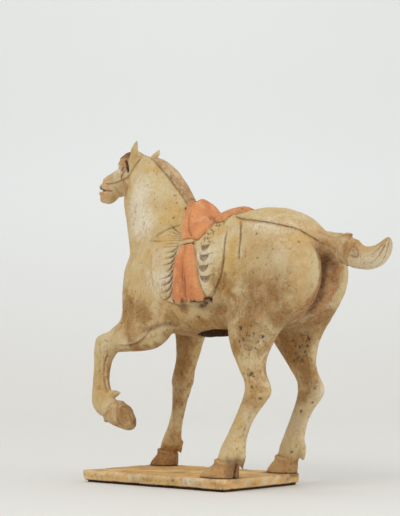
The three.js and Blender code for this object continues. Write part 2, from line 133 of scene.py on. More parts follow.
# Vertex places, neighbours and normals of a fine mesh, as arrays.
class Clay:
    def __init__(self, mesh):
        self.mesh = mesh
        count = len(mesh.vertices)
        flat = np.empty(count * 3, np.float32)
        mesh.vertices.foreach_get("co", flat)
        self.place = flat.reshape(-1, 3) * 1000
        edges = np.empty(len(mesh.edges) * 2, np.int32)
        mesh.edges.foreach_get("vertices", edges)
        edges = edges.reshape(-1, 2)
        source = np.concatenate([edges[:, 0], edges[:, 1]])
        target = np.concatenate([edges[:, 1], edges[:, 0]])
        order = np.argsort(source, kind="stable")
        source, target = source[order], target[order]
        self.valence = np.bincount(source, minlength=count)
        start = np.cumsum(self.valence) - self.valence
        self.around = np.repeat(np.arange(count)[:, None], self.valence.max(), 1)
        self.around[source, np.arange(len(source)) - start[source]] = target
        corners = np.empty(len(mesh.loops), np.int32)
        mesh.loops.foreach_get("vertex_index", corners)
        first = np.empty(len(mesh.polygons), np.int32)
        total = np.empty(len(mesh.polygons), np.int32)
        mesh.polygons.foreach_get("loop_start", first)
        mesh.polygons.foreach_get("loop_total", total)
        four = total == 4
        three = total == 3
        self.quads = corners[first[four][:, None] + np.arange(4)]
        self.tris = corners[first[three][:, None] + np.arange(3)]
        self.lift = np.zeros(count)
        self.paints = {part: np.zeros(count) for parts in carriers.values() for part in parts}
        self.refresh()

    def average(self, values, rows=None):
        around = self.around if rows is None else self.around[rows]
        valence = self.valence if rows is None else self.valence[rows]
        own = np.arange(len(self.place)) if rows is None else rows
        spare = (around.shape[1] - valence).astype(np.float32)
        if values.ndim == 1:
            return (values[around].sum(1) - values[own] * spare) / valence
        return (values[around].sum(1) - values[own] * spare[:, None]) / valence[:, None]

    # Each vertex takes part for its own number of rounds.
    def relaxed(self, values, rounds):
        values = values.copy()
        rounds = np.broadcast_to(np.asarray(rounds, np.float32), (len(self.place),))
        for step in range(int(math.ceil(rounds.max()))):
            rows = np.flatnonzero(rounds > step)
            share = 0.5 * np.clip(rounds[rows] - step, 0, 1).astype(np.float32)
            if values.ndim > 1:
                share = share[:, None]
            values[rows] += share * (self.average(values, rows) - values[rows])
        return values

    # Smooths away facets, and gives back what the wide shape lost.
    def polish(self, rounds):
        soft = self.relaxed(self.place, rounds)
        self.place = soft + self.relaxed(self.place - soft, rounds)
        self.refresh()

    def findNormals(self):
        normal = np.zeros_like(self.place)
        for faces, picks in ((self.quads, ((0, 2), (1, 3))), (self.tris, ((0, 1), (0, 2)))):
            if not len(faces):
                continue
            (a, b), (c, d) = picks
            face = np.cross(
                self.place[faces[:, b]] - self.place[faces[:, a]],
                self.place[faces[:, d]] - self.place[faces[:, c]],
            )
            for corner in range(faces.shape[1]):
                for axis in range(3):
                    normal[:, axis] += np.bincount(
                        faces[:, corner], face[:, axis], len(normal)
                    ).astype(np.float32)
        self.normal = normal / np.maximum(np.linalg.norm(normal, axis=1, keepdims=True), 1e-9)

    # The left side's view of every point, so that both sides are worked alike
    def refresh(self):
        self.findNormals()
        self.mirror = self.place.copy()
        self.mirror[:, 1] = np.abs(self.mirror[:, 1])
        self.mirrorNormal = self.normal.copy()
        self.mirrorNormal[:, 1] *= np.sign(self.place[:, 1])

    def push(self, amount):
        self.place += self.normal * amount[:, None].astype(np.float32)
        self.refresh()

    # Makes the gathered lift real, up to a limit, and clears it.
    def settle(self, most):
        self.push(np.clip(self.lift, -most, most))
        self.lift[:] = 0

    def paint(self, name, amount, rows=None):
        layer = self.paints[name]
        if rows is None:
            layer[:] = np.maximum(layer, amount)
        else:
            layer[rows] = np.maximum(layer[rows], amount)

    def store(self):
        self.mesh.vertices.foreach_set("co", (self.place / 1000).astype(np.float32).ravel())
        self.mesh.update()


# Smooth waves in all directions, from -1 to 1, for hand-made unevenness.
def waves(place, length, seed, count=20):
    random = np.random.default_rng(seed)
    ways = random.normal(size=(count, 3))
    ways /= np.linalg.norm(ways, axis=1, keepdims=True)
    ways *= (2 * math.pi / length) * random.uniform(0.7, 1.4, (count, 1))
    phase = random.uniform(0, 2 * math.pi, count)
    return np.sin(place @ ways.T + phase).sum(1) / math.sqrt(count) / 1.4


# Points on a smooth curve through those given.
def curve(points, steps=6):
    points = np.array(points, float)
    before = np.vstack([2 * points[0] - points[1], points[:-1]])
    after = np.vstack([points[1:], 2 * points[-1] - points[-2]])
    done = []
    for i in range(len(points) - 1):
        p, q, r, s = before[i], points[i], points[i + 1], after[i + 1]
        for k in range(steps):
            t = k / steps
            done.append(q + 0.5 * t * (r - p + t * (2 * p - 5 * q + 4 * r - s + t * (3 * (q - r) + s - p))))
    done.append(points[-1])
    return np.array(done)


# How far each point lies from a chain, and how far along the chain it is, from 0 to 1.
def alongChain(points, chain, normal=None):
    nearest = np.full(len(points), 1e9)
    along = np.zeros(len(points))
    lengths = np.linalg.norm(np.diff(chain, axis=0), axis=1)
    starts = np.concatenate([[0], np.cumsum(lengths)])
    for i, (a, b) in enumerate(zip(chain[:-1], chain[1:])):
        way = b - a
        t = np.clip((points - a) @ way / max(way @ way, 1e-9), 0, 1)
        gap = points - a - t[:, None] * way
        square = (gap ** 2).sum(1)
        if normal is not None:  # height over the surface counts for little
            square = square - 0.9 * (gap * normal).sum(1) ** 2
        closer = square < nearest
        nearest[closer] = square[closer]
        along[closer] = (starts[i] + t[closer] * lengths[i]) / starts[-1]
    return np.sqrt(np.maximum(nearest, 0)), along


# Distance inside a closed outline in a flat map: positive within it.
def insideOutline(u, v, outline):
    points = np.stack([u, v], 1)
    loop = np.vstack([outline, outline[:1]])
    gap, _ = alongChain(points, loop)
    inside = np.zeros(len(u), bool)
    for (ax, ay), (bx, by) in zip(loop[:-1], loop[1:]):
        crosses = (ay > v) != (by > v)
        level = (v - ay) / (by - ay if by != ay else 1e-9)
        inside ^= crosses & (u < ax + level * (bx - ax))
    return np.where(inside, gap, -gap)


print("stage: horse body")

horseBody = {
    "cell": 1.5,  # size of the working mesh's faces
    "mostTriangles": 196000,
    "smoothness": 180,  # rounds over the trunk
    "unevenness": 0.35,
}
tufts = {
    "thickness": 5.5,
    # behind the fetlocks: y of the middle, then x and z around the outline from the tip up the rear
    "outlines": [
        (57.5, [(-138, 28.5), (-140.5, 60), (-126, 66), (-117, 50), (-122, 40)]),
        (-60, [(-145, 33), (-147, 56), (-134, 62), (-128, 52), (-133, 42)]),
        (-59, [(70.5, 34), (68.5, 52), (78, 58), (86, 50), (80, 42)]),
    ],
}

# The cloths are laid out on a map of x and of the turn about the trunk's middle line.
clothMap = {"axisHeight": 275, "perDegree": 1.2}

blanket = {
    "thickness": 2.4,
    "hemRise": 3,  # how much higher than the solid's the finer hem lies, in degrees
    # turn, front and rear, up one side
    "edges": [
        (-37, -41, -58), (-34, -26, -72), (-29, -10, -84), (-22, 1, -94), (-14, 7, -101),
        (-3, 12, -109), (8, 15, -112), (18, 17, -113), (30, 23, -112), (40, 29, -110),
        (50, 35, -107), (56, 24, -105), (62, 10, -104), (68, -4, -103), (79, -8, -102), (90, -9, -102),
    ],
}
cover = {
    "thickness": 2.2,
    "fold": 5.7,
    "crease": 0.4,  # where its two folds meet, from the front edge
    "tuck": 3.4,  # how far the finer cover's front edge lies behind the solid's
    "edges": [
        (-31, -22, -85), (-26, -22, -83), (-19, -23, -79), (-11, -25, -75),
        (-2, -25, -72), (8, -25, -70), (18, -25, -66), (27, -28, -61), (37, -32, -55),
    ],
}
saddle = {
    "pommel": [
        (35, -34, -52), (41, -29, -59), (50, -23, -66), (60, -15, -69), (70, -9, -63), (80, -5, -52),
        (90, -4, -45),
    ],
    "seat": [(64, -72, -92), (67, -59, -99), (74, -47, -103), (82, -40, -104), (90, -37, -104)],
    "rim": [(-51, 42.5), (-42.4, 49.7), (-33.7, 58.9), (-29, 66), (-26, 72), (-25, 77)],
    # x and how much the dip behind the pommel is deepened
    "notch": [(-60, 0), (-52, 2), (-46, 3), (-42, 5.6), (-37, 6.5), (-34, 5), (-30, 3), (-25, 0)],
}
vent = {"middle": (-68.3, 10), "half": (42, 22), "deepen": 4}


def outlineOf(edges, closeTop, tuck=0, rise=0):
    front = [(f - tuck, (t + rise * (t < -20)) * clothMap["perDegree"]) for t, f, _ in edges]
    rear = [(r, (t + rise * (t < -20)) * clothMap["perDegree"]) for t, _, r in edges]
    if closeTop:  # beyond the ridge, so that it has no edge there
        front.append((front[-1][0], front[-1][1] + 40))
        rear.append((rear[-1][0], rear[-1][1] + 40))
    return np.array(front + rear[::-1])


# Where every point lies among the cloths: depths inside each outline, in millimetres.
def layCloths(clay, finer):
    place = clay.place
    away = place[:, 2] - clothMap["axisHeight"]
    turn = np.degrees(np.arctan2(away, np.abs(place[:, 1])))
    laid = {"x": place[:, 0], "turn": turn, "up": turn * clothMap["perDegree"]}
    laid["radius"] = np.hypot(away, place[:, 1])
    rows = np.flatnonzero(
        (place[:, 0] > -128) & (place[:, 0] < 50) & (turn > -50)
        & (laid["radius"] > 40) & (laid["radius"] < 120)
    )
    laid["rows"] = rows
    tuck = cover["tuck"] if finer else 0
    rise = blanket["hemRise"] if finer else 0
    outlines = {
        "blanket": outlineOf(blanket["edges"], True, rise=rise),
        "cover": outlineOf(cover["edges"], False, tuck, 0.6 * rise),
        "pommel": outlineOf(saddle["pommel"], True),
        "seat": outlineOf(saddle["seat"], True),
    }
    for name, outline in outlines.items():
        laid[name] = np.full(len(place), -99.0)
        laid[name][rows] = insideOutline(place[rows, 0], laid["up"][rows], outline)
    turns = [t for t, _, _ in cover["edges"]]
    front = np.interp(turn, turns, [f - tuck for _, f, _ in cover["edges"]])
    rear = np.interp(turn, turns, [r for _, _, r in cover["edges"]])
    laid["across"] = np.clip((front - place[:, 0]) / (front - rear), 0, 1)
    laid["down"] = np.clip((37 - turn) / 68, 0, 1)
    bow = np.maximum(smoothStep(laid["pommel"], -1.5, 0), smoothStep(laid["seat"], -1.5, 0))
    laid["free"] = 1 - bow * (laid["radius"] > 50)
    outwards = np.stack([np.zeros(len(place)), place[:, 1], away], 1)
    laid["outwards"] = outwards / np.maximum(np.linalg.norm(outwards, axis=1, keepdims=True), 1e-6)
    return laid


def foldShape(laid):
    across = laid["across"]
    part = np.where(
        across < cover["crease"], across / cover["crease"],
        (across - cover["crease"]) / (1 - cover["crease"]),
    )
    return (0.3 + 0.7 * laid["down"]) * cover["fold"] * (1 - np.abs(2 * part - 1) ** 2.2)


# Where the tufts behind the fetlocks are, from 0 to 1
def nearTufts(clay):
    x, y, z = clay.place.T
    found = np.zeros(len(x))
    for middle, outline in tufts["outlines"]:
        behind = outline[-1][0] + 1 - x
        near = (np.abs(y - middle) < 14) & (behind < 24) & (z > 24)
        found = np.maximum(found, smoothStep(behind, -2, 1) * near * smoothStep(z, 56, 48))
    return found


# Each tuft is a fin, thick at its root and thin at its tip.
def addTufts(mesh):
    build = bmesh.new()
    build.from_mesh(mesh)
    for middle, outline in tufts["outlines"]:
        sides = []
        for side in (-1, 1):
            ring = []
            for i, (x, z) in enumerate(outline):
                half = tufts["thickness"] * (0.25 if i == 0 else 0.7 if i == 4 else 1)
                ring.append(build.verts.new((x / 1000, (middle + side * half) / 1000, z / 1000)))
            sides.append(ring)
        near, far = sides
        build.faces.new(near)
        build.faces.new(far[::-1])
        for i in range(len(outline)):
            j = (i + 1) % len(outline)
            build.faces.new((near[j], near[i], far[i], far[j]))
    bmesh.ops.recalc_face_normals(build, faces=build.faces)
    build.to_mesh(mesh)
    build.free()
    return mesh


# How many smoothing rounds each region takes; small forms take few.
def roundsFor(clay, laid):
    x, y, z = clay.place.T
    side = np.abs(y)
    rounds = np.full(len(x), float(horseBody["smoothness"]))
    bows = np.maximum(smoothStep(laid["pommel"], -5, 0), smoothStep(laid["seat"], -4, 0))
    bows = bows * (laid["radius"] > 50)
    ventGap = np.hypot((x - vent["middle"][0]) / vent["half"][0], (y - vent["middle"][1]) / vent["half"][1])
    regions = (
        (smoothStep(z, 215, 175), 42),  # legs
        (smoothStep(x, 30, 60) * smoothStep(z, 235, 205) * smoothStep(y, 0, 20), 26),  # raised leg
        (smoothStep(z, 340, 372) * smoothStep(x, -35, -15), 105),  # neck
        (smoothStep(x + 0.25 * (z - 440), 84, 96) * smoothStep(z, 372, 392), 8),  # head
        (smoothStep(z, 54, 48), 8),  # standing hooves
        (nearTufts(clay), 3),
        (smoothStep(z, 124, 112) * smoothStep(x, 62, 70) * smoothStep(y, 5, 15), 9),  # raised hoof
        (smoothStep(x, -216, -228), 22),  # tail
        (smoothStep(x, -274, -284), 130),
        (bows, 7),
        (smoothStep(ventGap, 1.45, 1.2) * smoothStep(z, 222, 212), 5),
        (smoothStep(z, 449, 454) * smoothStep(side, 10, 13) * smoothStep(x, 104, 99), 2),  # ears
    )
    for mask, amount in regions:
        rounds = rounds * (1 - mask) + amount * mask
    return clay.relaxed(rounds.astype(np.float32), 4)


# Takes the plain cloths off the solid's back and smooths the body under them.
def roughHorse():
    solid = addTufts(meshCopy(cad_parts["horse"], "horse"))
    mesh = through(solid, "REMESH", mode="VOXEL", voxel_size=horseBody["cell"] / 1000)
    clay = Clay(mesh)
    laid = layCloths(clay, False)
    plain = blanket["thickness"] * smoothStep(laid["blanket"], -0.6, 0.6)
    plain += (cover["thickness"] + foldShape(laid)) * smoothStep(laid["cover"], -0.6, 0.6)
    clay.place -= (laid["outwards"] * (plain * laid["free"])[:, None]).astype(np.float32)
    deeper = np.interp(clay.place[:, 0], *zip(*saddle["notch"])) * smoothStep(laid["turn"], 50, 72)
    clay.place[:, 2] -= (deeper * (laid["radius"] > 50)).astype(np.float32)
    clay.findNormals()
    clay.polish(roundsFor(clay, laid) * (1.5 / horseBody["cell"]) ** 2)
    clay.store()
    return mesh


# The regions that get faces of half the size, for the finer relief.
def wantsDetail(clay):
    x, y, z = clay.place.T
    side = np.abs(y)
    laid = layCloths(clay, True)
    wanted = (laid["blanket"] > -4) | (laid["pommel"] > -5) | (laid["seat"] > -5)
    wanted |= (x + 0.25 * (z - 440) > 78) & (z > 385)  # head
    wanted |= x < -218  # tail
    wanted |= (z < 54) | ((x > 68) & (y > 0) & (z < 126))  # hooves
    wanted |= (x > -112) & (x < -26) & (z < 212) & (z > 190) & (side < 36)  # vent
    strap = curve(harness["crupper"], 3)
    near = np.flatnonzero((x < -95) & (z > 295))
    gap, _ = alongChain(clay.mirror[near], strap)
    wanted[near[gap < 7]] = True
    return wanted


# All that hangs together with the body, so that loose scraps inside can go
def reached(clay):
    found = np.zeros(len(clay.place), bool)
    front = np.array([np.argmax(clay.place[:, 2] * (clay.place[:, 2] < 300))])
    while len(front):
        found[front] = True
        front = np.unique(clay.around[front])
        front = front[~found[front]]
    return found


def refine(mesh, wanted, kept):
    work = bmesh.new()
    work.from_mesh(mesh)
    work.verts.ensure_lookup_table()
    loose = [work.verts[i] for i in np.flatnonzero(~kept)]
    edges = [edge for edge in work.edges if wanted[edge.verts[0].index] and wanted[edge.verts[1].index]]
    bmesh.ops.subdivide_edges(work, edges=edges, cuts=1, use_grid_fill=True)
    bmesh.ops.triangulate(work, faces=[face for face in work.faces if len(face.verts) > 4])
    bmesh.ops.delete(work, geom=loose, context="VERTS")
    work.to_mesh(mesh)
    work.free()


harness = {
    "crupper": [
        (-108, 34, 350.5), (-121.9, 41.5, 346.3), (-134.6, 45.2, 343.6), (-156.7, 46.4, 339.9),
        (-176.9, 43.9, 336.0), (-192.8, 39.8, 331.9), (-202, 34, 329), (-210, 28, 325), (-218, 21, 319),
        (-225, 15.5, 314), (-234, 14.6, 309),
    ],
    "string": [
        (-122.5, 43, 345.5), (-127, 48, 339.5), (-131.6, 53.4, 333.2), (-136.7, 60.4, 316.4),
        (-137.2, 63.6, 303.5), (-137.5, 64.9, 290.8), (-136.5, 65.2, 282),
    ],
    "breast": [(42, 41, 325.5), (38, 40.6, 326.2), (28.3, 41.5, 326.0), (10.4, 43.2, 324.4)],
    "breastUpper": [
        (38.3, 40.4, 327.1), (27.6, 36.9, 334.4), (12.5, 30.9, 342.3), (1.2, 25.8, 346.4), (-8, 22, 350),
    ],
    "noseBand": [
        (152, 11.5, 418), (145.3, 12.6, 416.5), (128.5, 18.4, 415.9), (115.5, 20.5, 417.5),
        (103.3, 21.9, 419.4), (94.3, 22.2, 424.9), (89, 18.9, 434.1), (84.2, 14.9, 443.2),
        (82, 10.5, 450),
    ],
    "cheekStrap": [(107, 21.6, 430), (108, 21.6, 426.9), (110.7, 21.4, 423.3), (111.9, 20.1, 417.5)],
}

horseMesh = roughHorse()
horse = Clay(horseMesh)
print("rough vertices", len(horse.place))
refine(horseMesh, wantsDetail(horse), reached(horse))
horse = Clay(horseMesh)
horse.polish(3)
print("working vertices", len(horse.place))

print("stage: cloths and saddle")

laid = layCloths(horse, True)


# A cut or raised line on the cloth map: its depth and width run from the start to the end.
def clothStroke(points, depth, width, colour=None, strength=1.0, taper=0.35):
    chain = curve(points, 5)
    reach = 4 * max(width)
    low, high = chain.min(0) - reach, chain.max(0) + reach
    rows = laid["rows"]
    x, up = laid["x"][rows], laid["up"][rows]
    rows = rows[(x > low[0]) & (x < high[0]) & (up > low[1]) & (up < high[1])]
    gap, along = alongChain(np.stack([laid["x"][rows], laid["up"][rows]], 1), chain)
    wide = width[0] + (width[1] - width[0]) * along
    deep = depth[0] + (depth[1] - depth[0]) * along
    ends = smoothStep(along, 0, taper * 0.3 + 1e-3) * smoothStep(1 - along, 0, taper)
    horse.lift[rows] += deep * bell(gap, wide) * (0.1 + 0.9 * ends)
    if colour:
        horse.paint(colour, strength * bell(gap, wide * 0.95) * ends, rows)


def onMap(points):
    return [(x, turn * clothMap["perDegree"]) for x, turn in points]


def layFinerCloths():
    across, down = laid["across"], laid["down"]
    lift = blanket["thickness"] * smoothStep(laid["blanket"], -0.7, 0.9)
    flutes = np.sin(across * 2 * math.pi * 4.5 + 0.6) * 0.4 * (0.2 + down)
    pleats = np.sin(across * 2 * math.pi * 6.5 + 1.0) * 0.5 * smoothStep(down, 0.4, 0.05)
    split = (across - cover["crease"] - 0.04 * down) * 50 / 1.5
    lift += smoothStep(laid["cover"], -0.5, 1.2) * (
        cover["thickness"] + foldShape(laid) + flutes + pleats
        - 1.9 * np.exp(-(split ** 2)) * smoothStep(down, 0.1, 0.5)
    )
    horse.place += (laid["outwards"] * (lift * laid["free"])[:, None]).astype(np.float32)
    horse.refresh()
    pale = smoothStep(laid["turn"], 48, 26)
    horse.paint("blanket", smoothStep(laid["blanket"], -0.4, 0.8) * (0.35 + 0.65 * pale))
    horse.paint("ochre", 0.75 * smoothStep(laid["blanket"], -0.4, 0.8) * smoothStep(laid["turn"], 26, 46))
    cream = smoothStep(laid["turn"], 40, 24) * smoothStep(laid["blanket"], -1, 12)
    horse.paint("slipAndHighlight", cream * np.where(laid["x"] > -40, 0.8 * smoothStep(laid["turn"], 18, -4), 0.6))
    onTop = laid["radius"] > 50
    horse.paint("salmon", smoothStep(laid["cover"], -0.6, 0.6))
    horse.paint("salmon", smoothStep(laid["pommel"], -0.8, 0.5) * onTop)
    horse.paint("salmon", smoothStep(laid["seat"], -0.8, 0.5) * onTop)
    # painted shade in the crease where the cover's two folds meet
    fold = np.exp(-(split ** 2)) * smoothStep(down, 0.3, 0.7) * smoothStep(laid["cover"], 0, 1)
    horse.paint("shadeAndDarkPaint", 0.5 * fold)


# Creases that run forward from the cover: light ones above, heavy hooked ones below
gathers = {
    "light": {"count": 7, "top": 56, "step": 3.3, "reach": 36, "fall": (13, 2)},
    "heavy": {"count": 8, "top": 35.2, "step": 7.4, "reach": 29, "fall": (-6, -11)},
    "start": -27,
}


def gatherBlanket():
    light, heavy = gathers["light"], gathers["heavy"]
    for i in range(light["count"]):
        share = i / (light["count"] - 1)
        turn = light["top"] - light["step"] * i
        fall = light["fall"][0] + (light["fall"][1] - light["fall"][0]) * share
        start = np.interp(turn, [35, 41, 50, 60], [-28.5, -27.5, -21, -13])
        path = [
            (start - 1 + light["reach"] * t, turn + fall * (1 - (1 - t) ** 2.2))
            for t in (0, 0.2, 0.5, 0.8, 1)
        ]
        clothStroke(onMap(path), (-1.2, -0.6), (1.0, 0.8), "line", 0.85)
    for i in range(heavy["count"]):
        share = i / (heavy["count"] - 1)
        turn = heavy["top"] - heavy["step"] * i
        fall = heavy["fall"][0] + (heavy["fall"][1] - heavy["fall"][0]) * share
        reach = heavy["reach"] * (0.65 if i == 3 else 1)
        offsets = ((0, 7.0), (2.5, 3.2), (7, 0.5 * fall), (0.6 * reach, 0.85 * fall), (reach, fall))
        path = [(gathers["start"] + dx, turn + rise) for dx, rise in offsets]
        clothStroke(onMap(path), (-1.9, -0.5), (1.35, 0.8), "line", 0.85)
        clothStroke(onMap(path[1:4]), (-1.3, -0.6), (2.2, 1.2), "leaf", 0.95, taper=0.5)
        above = [(x, t + 2.6) for x, t in path[2:]]
        clothStroke(onMap(above), (0.7, 0.4), (1.6, 1.6), taper=0.5)


leaves = {
    "places": [(-78, 31), (-80, 19.6), (-80.5, 8), (-84, -3.7)],  # x and turn
    "length": 16.5,
    "drop": 9.5,
    "depth": 2.0,
}


# Leaf-shaped hollows behind the cover: a flat top edge, a rounded lower one and a trailing line
def pressLeaves():
    rows = laid["rows"]
    for x, turn in leaves["places"]:
        along = (laid["x"][rows] - x) / (leaves["length"] / 2)
        rise = laid["up"][rows] - turn * clothMap["perDegree"]
        lower = -leaves["drop"] * np.clip(1 - np.abs(along) ** 2.2, 0, 1) + 2.4 * (1 - along ** 2)
        inside = smoothStep(2.4 - rise, -0.3, 0.6) * smoothStep(rise - lower, -0.2, 0.8) * (np.abs(along) < 1)
        horse.lift[rows] -= (
            leaves["depth"] * inside * (0.3 + 0.7 * smoothStep(rise - lower, 0, leaves["drop"]))
        )
        horse.paint("leaf", inside, rows)
        horse.paint("line", 0.45 * inside * smoothStep(rise - lower, 3, 9), rows)
        tail = [(x - 5, turn + 1.8), (x - 12, turn + 2.6), (x - 19, turn + 2.2)]
        clothStroke(onMap(tail), (-0.8, -0.2), (0.9, 0.6), "line", 0.8)
        clothStroke(
            onMap([(x + 10, turn + 7), (x + 9, turn + 3), (x + 5, turn)]), (-0.8, -0.5), (0.9, 0.9),
            "line", 0.7,
        )
    blades = [
        [(-70, 49), (-78, 46), (-84, 50)], [(-72, 55), (-80, 50), (-90, 47)],
        [(-76, 60), (-86, 56), (-97, 55)], [(-82, 50), (-86, 44), (-87, 38)],
        [(-74, 42), (-80, 40), (-88, 42)], [(-84, 60), (-90, 53), (-92, 46)],
        [(-70, 44), (-73, 38), (-73, 32)], [(-90, 62), (-96, 56), (-97, 49)],
        [(-80, 37), (-86, 35), (-92, 37)],
    ]
    for blade in blades:
        clothStroke(onMap(blade), (-1.3, -0.4), (1.2, 0.7), "line", 0.85)
        clothStroke(onMap([blade[0], blade[1]]), (-0.6, -0.2), (1.7, 0.9), "leaf", 0.7)


def cutSaddle():
    step = clothMap["perDegree"]
    pommelFront = [(f, t * step) for t, f, _ in saddle["pommel"]] + [(-4, 116)]
    pommelRear = [(r - 1.4, t * step) for t, _, r in saddle["pommel"]][:6]
    seatLow = [
        (-66, 68 * step), (-73, 64.5 * step), (-82, 62.5 * step), (-92, 63 * step), (-99, 67 * step),
        (-104, 74 * step), (-106, 90 * step),
    ]
    rimRidge = [((a[0] + b[0]) / 2, (a[1] * step + b[1]) / 2) for a, b in zip(saddle["rim"], pommelFront[:6])]
    clothStroke(rimRidge, (1.6, 0.6), (2.6, 2.2), None, taper=0.3)
    clothStroke(onMap(saddle["rim"]), (-2.3, -1.0), (1.5, 1.3), "line", 0.6, taper=0.3)
    clothStroke([(x + 1.2, up) for x, up in pommelFront], (-1.0, -0.4), (1.3, 1.3), "line", 0.5, taper=0.25)
    clothStroke(pommelRear, (-2.2, -1.6), (1.5, 1.7), "line", 0.8, taper=0.1)
    clothStroke(seatLow, (-1.5, -1.0), (1.3, 1.5), "line", 0.85, taper=0.1)
    behind = np.interp(laid["turn"], *zip(*[(t, f) for t, f, _ in saddle["pommel"]])) - laid["x"]
    width = np.interp(laid["turn"], [36, 60, 80, 90], [12, 10, 5, 3])
    rim = smoothStep(laid["pommel"], -1, 0.5) * smoothStep(behind, width, width - 4)
    horse.paint("ochre", rim)
    horse.paint("slipAndHighlight", 0.5 * rim)
    horse.paints["salmon"] *= 1 - 0.7 * rim
    horse.paint("line", 0.28 * smoothStep(laid["seat"], 0, 2))
    horse.paint("dirtAndShade", 0.45 * smoothStep(laid["cover"], 0, 2) * smoothStep(laid["turn"], 37, 33))
    dome = smoothStep(laid["pommel"], 0, 6) * smoothStep(laid["x"], -14, -30) * (laid["radius"] > 50)
    horse.lift += 1.8 * dome
    # the waist above the tie, the tie itself and the small pleats under it
    tie = (
        np.exp(-(((laid["turn"] - 37.8) / 1.9) ** 4)) * (laid["x"] > -61) * (laid["x"] < -28)
        * (laid["radius"] < 95)
    )
    horse.paints["salmon"] *= 1 - 0.9 * tie
    horse.paint("ochre", tie)
    horse.paint("dirtAndShade", 0.5 * tie)
    horse.lift += 1.2 * tie
    for turn in (40.6, 35):
        path = [(-32, turn - 0.3), (-47, turn + 0.6), (-60, turn)]
        clothStroke(onMap(path), (-1.3, -1.3), (0.9, 0.9), "line", 0.6, taper=0.1)
    clothStroke(onMap([(-46, 32), (-45, 24), (-47, 17)]), (-0.9, -0.3), (0.9, 0.9), "line", 0.35)
    clothStroke(
        onMap([(-48.5, 14), (-50, 4), (-52, -8), (-52, -22), (-53, -30)]), (-0.4, -2.4), (0.9, 2.0),
        "line", 0.45,
    )
    # painted shade down the deepest of the small pleats
    clothStroke(
        onMap([(-50.5, 0), (-52, -10), (-52, -20), (-53, -30)]), (-0.3, -1.0), (0.8, 1.7),
        "shadeAndDarkPaint", 0.75,
    )
    # drawn outlines of the blanket and the cover
    outlines = (
        ([(r - 0.7, t * step) for t, _, r in blanket["edges"]][1:11], 1.2, 0.95),
        ([(f + 0.8, (t + blanket["hemRise"]) * step) for t, f, _ in blanket["edges"]][:4], 0.9, 0.7),
        ([(f - cover["tuck"] + 0.9, t * step) for t, f, _ in cover["edges"]], 1.0, 0.7),
        ([(r - 0.9, t * step) for t, _, r in cover["edges"]], 1.0, 0.7),
    )
    for path, width, strength in outlines:
        clothStroke(path, (-0.8, -0.6), (width, width), "line", strength, taper=0.12)


# The cover's hem is ragged, with openings under its rear corner; the hem's deepest dips and the openings are
# painted dark as painted shade.
def fraySaddleHem():
    x = laid["x"]
    rise = (laid["turn"] + 29.6) * clothMap["perDegree"]
    onSide = laid["radius"] < 90
    ragged = 0.5 + 0.3 * np.sin(x * 0.37) + 0.3 * np.sin(x * 0.83 + 1)
    band = bell(rise - 1.2 - 2.6 * ragged, 3.0) * smoothStep(laid["cover"], -4, 0.5) * (x > -88) * (x < -24)
    horse.lift -= 1.8 * band * ragged
    horse.paint("shadeAndDarkPaint", 0.9 * band * smoothStep(ragged, 0.55, 0.9))
    horse.paint("ochre", band)
    horse.paint("slipAndHighlight", 0.4 * band)
    horse.paint("dirtAndShade", 0.6 * band)
    horse.paints["salmon"] *= 1 - 0.9 * band * smoothStep(ragged, 0.9, 0.35)
    # x, rise, width, height, depth and darkness
    openings = (
        (-66, 2.4, 5.5, 1.6, 2.4, 0.9), (-72, -0.4, 6, 2, 2.6, 0.9), (-86.5, 1.2, 3.2, 3.6, 2.8, 1.0),
        (-71, -6.5, 7, 2.6, 0.3, 0.75), (-78, -3.5, 6, 2, 0.3, 0.6), (-45, -3.2, 9, 2, 0.3, 0.4),
    )
    for middle, level, width, height, depth, darkness in openings:
        opening = mound(x - middle, width, rise - level, height) * onSide
        horse.lift -= depth * opening
        horse.paint("shadeAndDarkPaint", np.clip(1.3 * darkness * opening, 0, 1))
        horse.paint("hollowShade", 0.75 * darkness * opening)


layFinerCloths()
gatherBlanket()
pressLeaves()
cutSaddle()
fraySaddleHem()
horse.lift *= np.maximum(laid["free"], (laid["pommel"] > -3) | (laid["seat"] > -3))
horse.settle(4)

print("stage: harness, mane, tail and head")


# A line cut or raised on the body through points given for the left side, made on both sides.
def bodyStroke(points, profile, reach, colour=None, strength=1.0, paintWidth=1.5, taper=0.06, only=None):
    chain = curve(points, 5)
    low, high = chain.min(0) - reach, chain.max(0) + reach
    rows = np.flatnonzero(np.all((horse.mirror > low) & (horse.mirror < high), axis=1))
    if only is not None:
        rows = rows[horse.place[rows, 1] * only > 0]
    gap, along = alongChain(horse.mirror[rows], chain, horse.mirrorNormal[rows])
    ends = smoothStep(along, 0, taper) * smoothStep(1 - along, 0, taper)
    horse.lift[rows] += profile(gap) * ends
    if colour:
        horse.paint(colour, strength * bell(gap, paintWidth) * ends, rows)


def cut(depth, width):
    return lambda gap: -depth * bell(gap, width)


def ridge(height, width):
    return lambda gap: height * bell(gap, width)


def strap(height, width):
    def profile(gap):
        groove = 0.7 * height * bell(gap - 1.8 * width, 0.7 * width)
        return height * np.exp(-((gap / width) ** 4)) - groove

    return profile


def spot(centre, radii):
    away = (horse.mirror - np.array(centre)) / np.array(radii)
    return np.exp(-(away ** 2).sum(1))


def harnessMarks():
    bodyStroke(harness["crupper"], strap(0.5, 1.5), 8, "line", 0.7, 2.2)
    bodyStroke(harness["string"], cut(1.2, 1.2), 6, "line", 1.0, 1.6, taper=0.25)
    bodyStroke(
        harness["string"][: len(harness["string"]) // 2 + 1], cut(0.3, 1.0), 6, "shadeAndDarkPaint", 0.5, 1.1,
        taper=0.2,
    )
    bodyStroke(harness["breast"], cut(0.9, 1.1), 6, "line", 0.8, 1.4, taper=0.2)
    bodyStroke(harness["breastUpper"], cut(0.9, 1.1), 6, "line", 0.7, 1.4, taper=0.2)
    bodyStroke(harness["noseBand"], strap(0.4, 1.1), 6, "line", 0.5, 1.4)
    bodyStroke(harness["cheekStrap"], strap(0.4, 1.0), 5, "line", 0.5, 1.3)


